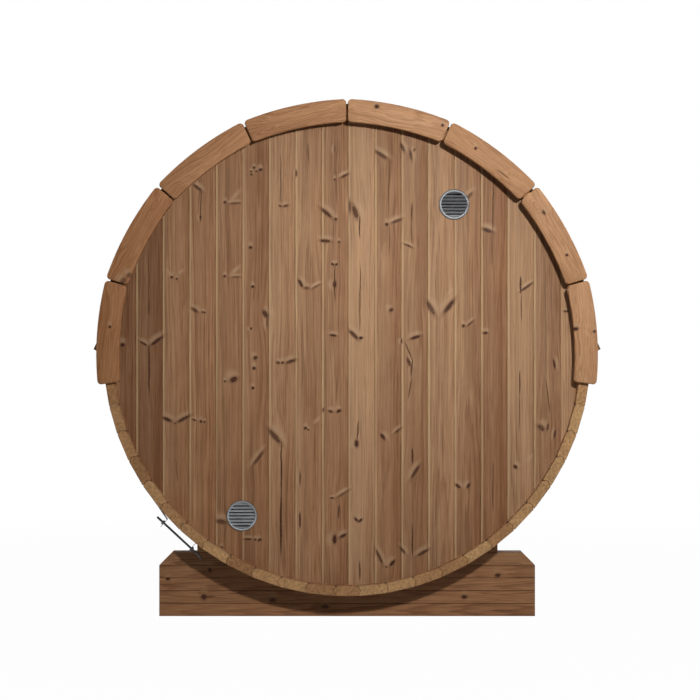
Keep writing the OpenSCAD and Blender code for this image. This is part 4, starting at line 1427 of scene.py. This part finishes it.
@dataclass
class Door:
    """The fixed door in its frame, with its hardware."""

    joinery_ease: float = 0.003
    grip_ease: float = 0.009
    hinge_ease: float = 0.0006
    strap: float = 0.003
    strap_end: float = 0.03
    plate: Pair = (0.03, 0.11)
    strap_screws: int = 4
    strap_step: float = 0.068
    plate_screws: int = 3
    plate_step: float = 0.037

    def build(self) -> None:
        """Dresses leaf, frame, ledges, handle and hinges."""
        Carpentry("board_wood", Grain.UP, LEAF_WOOD, 0.0).build("door_leaf")
        Carpentry("board_wood", Grain.SPAN, JOINERY_WOOD, self.joinery_ease).build("door_ledges")
        Carpentry("trim_wood", Grain.LONGEST, JOINERY_WOOD, self.joinery_ease).build("door_frame")
        Carpentry("trim_wood", Grain.UP, JOINERY_WOOD, self.grip_ease, 3).build("door_handle")
        hinges = Workpiece("door_hinges")
        hinges.ease(self.hinge_ease)
        hinges.dress(HINGE_STEEL, "hinge_steel")
        self._screws()

    def _screws(self) -> None:
        """Sets the screws in the straps and plates of the hinges."""
        low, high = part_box("door_hinges")
        width, height = self.plate
        face = low.y + self.strap
        row = ScrewRecipe()
        for name, z in (("lower", low.z + height / 2), ("upper", high.z - height / 2)):
            strap = row.make(
                f"{name}_strap_screws", HINGE_STEEL, Count=self.strap_screws,
                First=(high.x - self.strap_end - (self.strap_screws - 1) * self.strap_step, face, z),
                Step=(self.strap_step, 0.0, 0.0))
            plate = row.make(
                f"{name}_plate_screws", HINGE_STEEL, Count=self.plate_screws,
                First=(low.x + width / 2, face, z - self.plate_step), Step=(0.0, 0.0, self.plate_step))
            hand_in(strap, "hinge_steel")
            hand_in(plate, "hinge_steel")


@dataclass
class Trim:
    """The curved trim blocks over the ends, and the eaves battens."""

    block_ease: float = 0.005
    batten_ease: float = 0.003
    # Shade and warmth of the blocks from the eaves up: partly their own tone, partly painted shade on the
    # left and painted light on the right
    left: tuple[Pair, ...] = ((0.87, 1.0), (0.92, 0.9), (0.91, 0.6), (0.92, 0.5))
    right: tuple[Pair, ...] = ((1.03, 0.15), (1.0, 0.2), (0.92, 0.35), (1.03, 0.1))

    def build(self) -> None:
        """Dresses the blocks, from the eaves up, and the battens."""
        blocks = Carpentry("trim_wood", Grain.BLOCK, TRIM_WOOD, self.block_ease, 3, pith_depth=(0.01, 0.05),
                           pith_off=0.05, lean=0.06)
        for side, shades in (("left", self.left), ("right", self.right)):
            for number, shade in enumerate(shades, 1):
                replace(blocks, shades=(shade,)).build(f"rear_trim_{side}_{number}")
            blocks.build(f"front_trim_{side}")
        battens = Carpentry("trim_wood", Grain.LENGTH, JOINERY_WOOD, self.batten_ease)
        for side in ("left", "right"):
            battens.build(f"eaves_batten_{side}")


@dataclass
class Hoops:
    """The steel hoops with their threaded rods and nuts."""

    nut_ease: float = 0.0008
    lead: float = 0.0015
    rings_a_turn: int = 4

    def build(self) -> None:
        """Dresses the straps and nuts and cuts the threads."""
        thread = ThreadRecipe()
        for end in ("rear", "front"):
            Workpiece(f"{end}_hoop").dress(HOOP_STEEL, "hoop_steel")
            nuts = Workpiece(f"{end}_hoop_nuts")
            nuts.ease(self.nut_ease)
            nuts.dress(HOOP_STEEL, "hoop_steel")
            hand_in(self._rod(thread, f"{end}_hoop_rod"), "hoop_steel", f"{end}_hoop_rod")

    def _rod(self, thread: ThreadRecipe, node: str) -> bpy.types.Object:
        """Makes a threaded rod where the CAD has a plain one.

        Args:
            thread: Recipe of the thread.
            node: Name of the rod's CAD node.

        Returns:
            The rod.
        """
        spots = node_points(node)
        middle = (spots.min(axis=0) + spots.max(axis=0)) / 2
        away = np.linalg.svd(spots - middle, full_matrices=False)[2][0]
        along = (spots - middle) @ away
        length = float(np.ptp(along))
        radius = float(np.linalg.norm(spots - middle - np.outer(along, away), axis=1).max())
        turn = Vector(away).to_track_quat("Z", "Y").to_euler()
        return thread.make(
            f"{node}_threaded", HOOP_STEEL, Radius=radius, Length=length, Lead=self.lead,
            Rings=int(self.rings_a_turn * length / self.lead),
            Middle=tuple(map(float, middle)), Turn=tuple(turn))


@dataclass
class Vents:
    """The two round louvred vents."""

    bore: float = 0.054
    rim: float = 0.0024
    painted_shade_share: float = 0.6

    def build(self) -> None:
        """Dresses the vents, with finishes of their own for ring, blades and eased rim: painted shade on the
        rim, and lit and shaded copies of one metal for the two vents' rings and blades.
        """
        for node, ring, blades in (
                ("upper_vent", VENT_METAL, SHADED_BLADES), ("lower_vent", PAINTED_SHADE_RING, PAINTED_LIGHT_BLADES)):
            low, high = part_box(node)
            middle = (low + high) / 2
            edge = (high.x - low.x) / 2 - MM
            work = Workpiece(node)
            work.ease(self.rim, only=self._rim_test(middle, edge, low.y + MM))
            vent = work.dress(ring, "vent_metal")
            vent.data.materials.append(blades.material())
            vent.data.materials.append(PAINTED_SHADE_RIM.material())
            # The outermost faces of the rim take the painted shade
            for face in vent.data.polygons:
                away = math.hypot(face.center.x - middle.x, face.center.z - middle.z)
                blade, in_painted_shade = away < self.bore - MM, away > edge - self.rim * self.painted_shade_share
                face.material_index = 1 if blade else 2 if in_painted_shade else 0

    @staticmethod
    def _rim_test(middle: Vector, radius: float, front: float) -> EdgeTest:
        """Gives a test for the edges of a vent's outer rim.

        Args:
            middle: Middle of the vent.
            radius: Distance from it that an edge has to be past.
            front: Place along Y that an edge has to be in front of.

        Returns:
            The test.
        """
        return lambda edge: all(
            math.hypot(v.co.x - middle.x, v.co.z - middle.z) > radius and v.co.y < front for v in edge.verts)


@dataclass
class Roof:
    """The lapped roofing over the upper half of the barrel."""

    courses: int = 10
    tab: float = 0.3
    lap: float = 0.023
    thickness: float = 0.004
    cap_thickness: float = 0.003
    seat: float = 0.0003
    eaves_height: float = 0.095

    def build(self) -> None:
        """Lays the flaps, the tabs of both sides and the capping."""
        spots = node_points("roof_right") - np.array([0, 0, barrel.axis_z])
        radius = float(np.hypot(spots[:, 0], spots[:, 2])[spots[:, 2] > self.eaves_height].min())
        start = math.asin(self.eaves_height / radius)
        pitch = (math.pi / 2 - start) / self.courses
        span = 2 * pitch + self.lap / radius
        rise = (self.thickness + self.seat) * span / pitch
        shingles = ShingleRecipe()
        for side, way in (("right", 1.0), ("left", -1.0)):
            tabs = shingles.make(
                f"roof_{side}_shingles", ROOFING, Courses=self.courses,
                Tabs=math.ceil(2 * barrel.half_length / self.tab) + 1, Length=2 * barrel.half_length,
                Tab=self.tab, Axis=barrel.axis_z, Radius=radius, Start=start, Pitch=pitch, Span=span,
                Stop=math.pi / 2 - self.seat / radius, Rise=rise, Thickness=self.thickness, Side=way)
            hand_in(tabs, "roofing", f"roof_{side}")
            self._flap(side)
        self._cap()

    def _flap(self, side: str) -> None:
        """Keeps the flap over the eaves batten, which is the lowest strip of the CAD roofing.

        Args:
            side: Side of the roof.
        """
        work = Workpiece(f"roof_{side}")
        islands = work.islands()
        lowest = min(work.bm.faces, key=lambda f: f.calc_center_median().z)
        others = [f for f in work.bm.faces if islands[f.index] != islands[lowest.index]]
        bmesh.ops.delete(work.bm, geom=others, context="FACES")
        flap = work.dress(ROOFING, "roofing")
        flap.name = f"roof_{side}_flap"

    def _cap(self) -> None:
        """Lays the capping along the crown."""
        _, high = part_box("roof_cap")
        outer = high.z - barrel.axis_z
        cap = CappingRecipe().make(
            "roof_cap_pieces", ROOFING, Length=2 * barrel.half_length, Axis=barrel.axis_z,
            Radius=outer - self.cap_thickness, Half_Angle=math.asin(high.x / outer),
            Thickness=self.cap_thickness / 2, Tilt=self.cap_thickness / 2)
        hand_in(cap, "roofing", "roof_cap")


@dataclass
class Cradles:
    """The two laminated cradles."""

    lamination: float = LAMINATION
    laminations: int = 5

    def build(self) -> None:
        """Dresses the cradles, each lamination with its own grain."""
        seams = tuple(self.lamination * k for k in range(1, self.laminations + 1))
        craft = Carpentry("cradle_wood", Grain.SPAN, CRADLE_WOOD, 0.0, seams=seams, lean=0.03)
        for node in ("rear_cradle", "front_cradle"):
            craft.build(node)


@dataclass(frozen=True)
class Lamp:
    """A soft lamp: where it hangs, how wide it is and how strong."""

    name: str
    place: Triple
    size: float
    power: float
    spread: float = 180.0
    aim: Triple = (0.0, 0.0, 0.0)

    def hang(self, target: Vector) -> None:
        """Adds the lamp at its place from a target, turned to it."""
        light = bpy.data.lights.new(self.name, "AREA")
        light.shape, light.size, light.energy = "DISK", self.size, self.power
        light.spread = math.radians(self.spread)
        lamp = bpy.data.objects.new(self.name, light)
        lamp.location = target + Vector(self.place)
        lamp.rotation_euler = (Vector(self.aim) - Vector(self.place)).to_track_quat("-Z", "Y").to_euler()
        lamp.visible_camera = False
        bpy.context.scene.collection.objects.link(lamp)


@dataclass
class Studio:
    """Floor, white surround, lamps and the camera at the photograph's angle."""

    view: View = VIEW
    floor_size: float = 80.0
    floor_near: float = 2.2
    floor_far: float = 5.0
    ambient: float = 0.055
    floor_white: float = 0.98
    floor_grey: float = 0.45
    lamps: tuple[Lamp, ...] = (
        Lamp("key", (1.27, -4.3, 1.46), 0.25, 26.4, 70.0, (0.25, 0.0, 0.4)),
        Lamp("overhead", (0.2, -0.9, 3.6), 2.0, 22.0),
        Lamp("front_lamp", (1.5, 7.0, 1.6), 2.5, 160.0),
        Lamp("flank_lamp", (-6.0, 1.2, 2.4), 2.5, 120.0),
        Lamp("other_flank_lamp", (6.0, 1.2, 2.4), 2.5, 120.0))

    def build(self) -> None:
        """Sets up the studio."""
        scene = bpy.context.scene
        scene.view_settings.view_transform = "Standard"
        self._camera(scene)
        self._surround(scene)
        self._floor()
        rear_end = Vector((0.0, -barrel.half_length, barrel.axis_z))
        for lamp in self.lamps:
            lamp.hang(rear_end)

    def _camera(self, scene: bpy.types.Scene) -> None:
        """Places the camera, level and looking along the barrel."""
        data = bpy.data.cameras.new("camera")
        data.lens, data.sensor_width = self.view.lens, self.view.sensor
        camera = bpy.data.objects.new("camera", data)
        across, height = self.view.eye
        camera.location = across, -barrel.half_length - self.view.distance, height
        camera.rotation_euler = (math.pi / 2, 0.0, 0.0)
        scene.collection.objects.link(camera)
        scene.camera = camera

    @staticmethod
    def _seen(sheet: NodeSheet) -> Signal:
        """Gives 1 for what the camera sees straight, in gloss or through glass."""
        path = sheet.add("ShaderNodeLightPath", out="Is Camera Ray")
        return path.most(path.output("Is Glossy Ray")).most(path.output("Is Transmission Ray"))

    def _surround(self, scene: bpy.types.Scene) -> None:
        """Makes the world white to look at and an even light on the object."""
        world = bpy.data.worlds.new("surround")
        world.use_nodes = True
        world.node_tree.nodes.clear()
        sheet = NodeSheet(world.node_tree)
        strength = self._seen(sheet) * (1 - self.ambient) + self.ambient
        glow = sheet.add("ShaderNodeBackground", inputs={"Color": (1, 1, 1, 1), "Strength": strength})
        sheet.add("ShaderNodeOutputWorld", inputs={"Surface": glow})
        scene.world = world

    def _floor(self) -> None:
        """Lays the pale floor, which keeps a soft shadow."""
        mesh = bpy.data.meshes.new("floor")
        half = self.floor_size / 2
        corners = [(x * half, y * half, 0) for x, y in ((-1, -1), (1, -1), (1, 1), (-1, 1))]
        mesh.from_pydata(corners, [], [(0, 1, 2, 3)])
        material = bpy.data.materials.new("pale_floor")
        material.use_nodes = True
        material.node_tree.nodes.clear()
        sheet = NodeSheet(material.node_tree)
        pale = sheet.add("ShaderNodeBsdfDiffuse", inputs={"Color": (*[self.floor_grey] * 3, 1)})
        white = sheet.add("ShaderNodeEmission", inputs={"Color": (1, 1, 1, 1), "Strength": 1.0})
        away = sheet.length(sheet.place())
        share = away.ease(self.floor_near, self.floor_far, self.floor_white, 1.0)
        mixed = sheet.add("ShaderNodeMixShader", inputs={0: self._seen(sheet) * share, 1: pale, 2: white})
        sheet.add("ShaderNodeOutputMaterial", inputs={"Surface": mixed})
        mesh.materials.append(material)
        floor = bpy.data.objects.new("floor", mesh)
        bpy.context.scene.collection.objects.link(floor)


def main() -> None:
    """Builds the sub-assemblies in order."""
    logging.basicConfig(level=logging.INFO, format="%(name)s: %(message)s")
    for assembly in (Shell(), EndWalls(), Door(), Trim(), Hoops(), Vents(), Roof(), Cradles(), Studio()):
        log.info("building %s", type(assembly).__name__)
        assembly.build()
    bpy.context.view_layer.update()


if __name__ == "__main__":
    main()
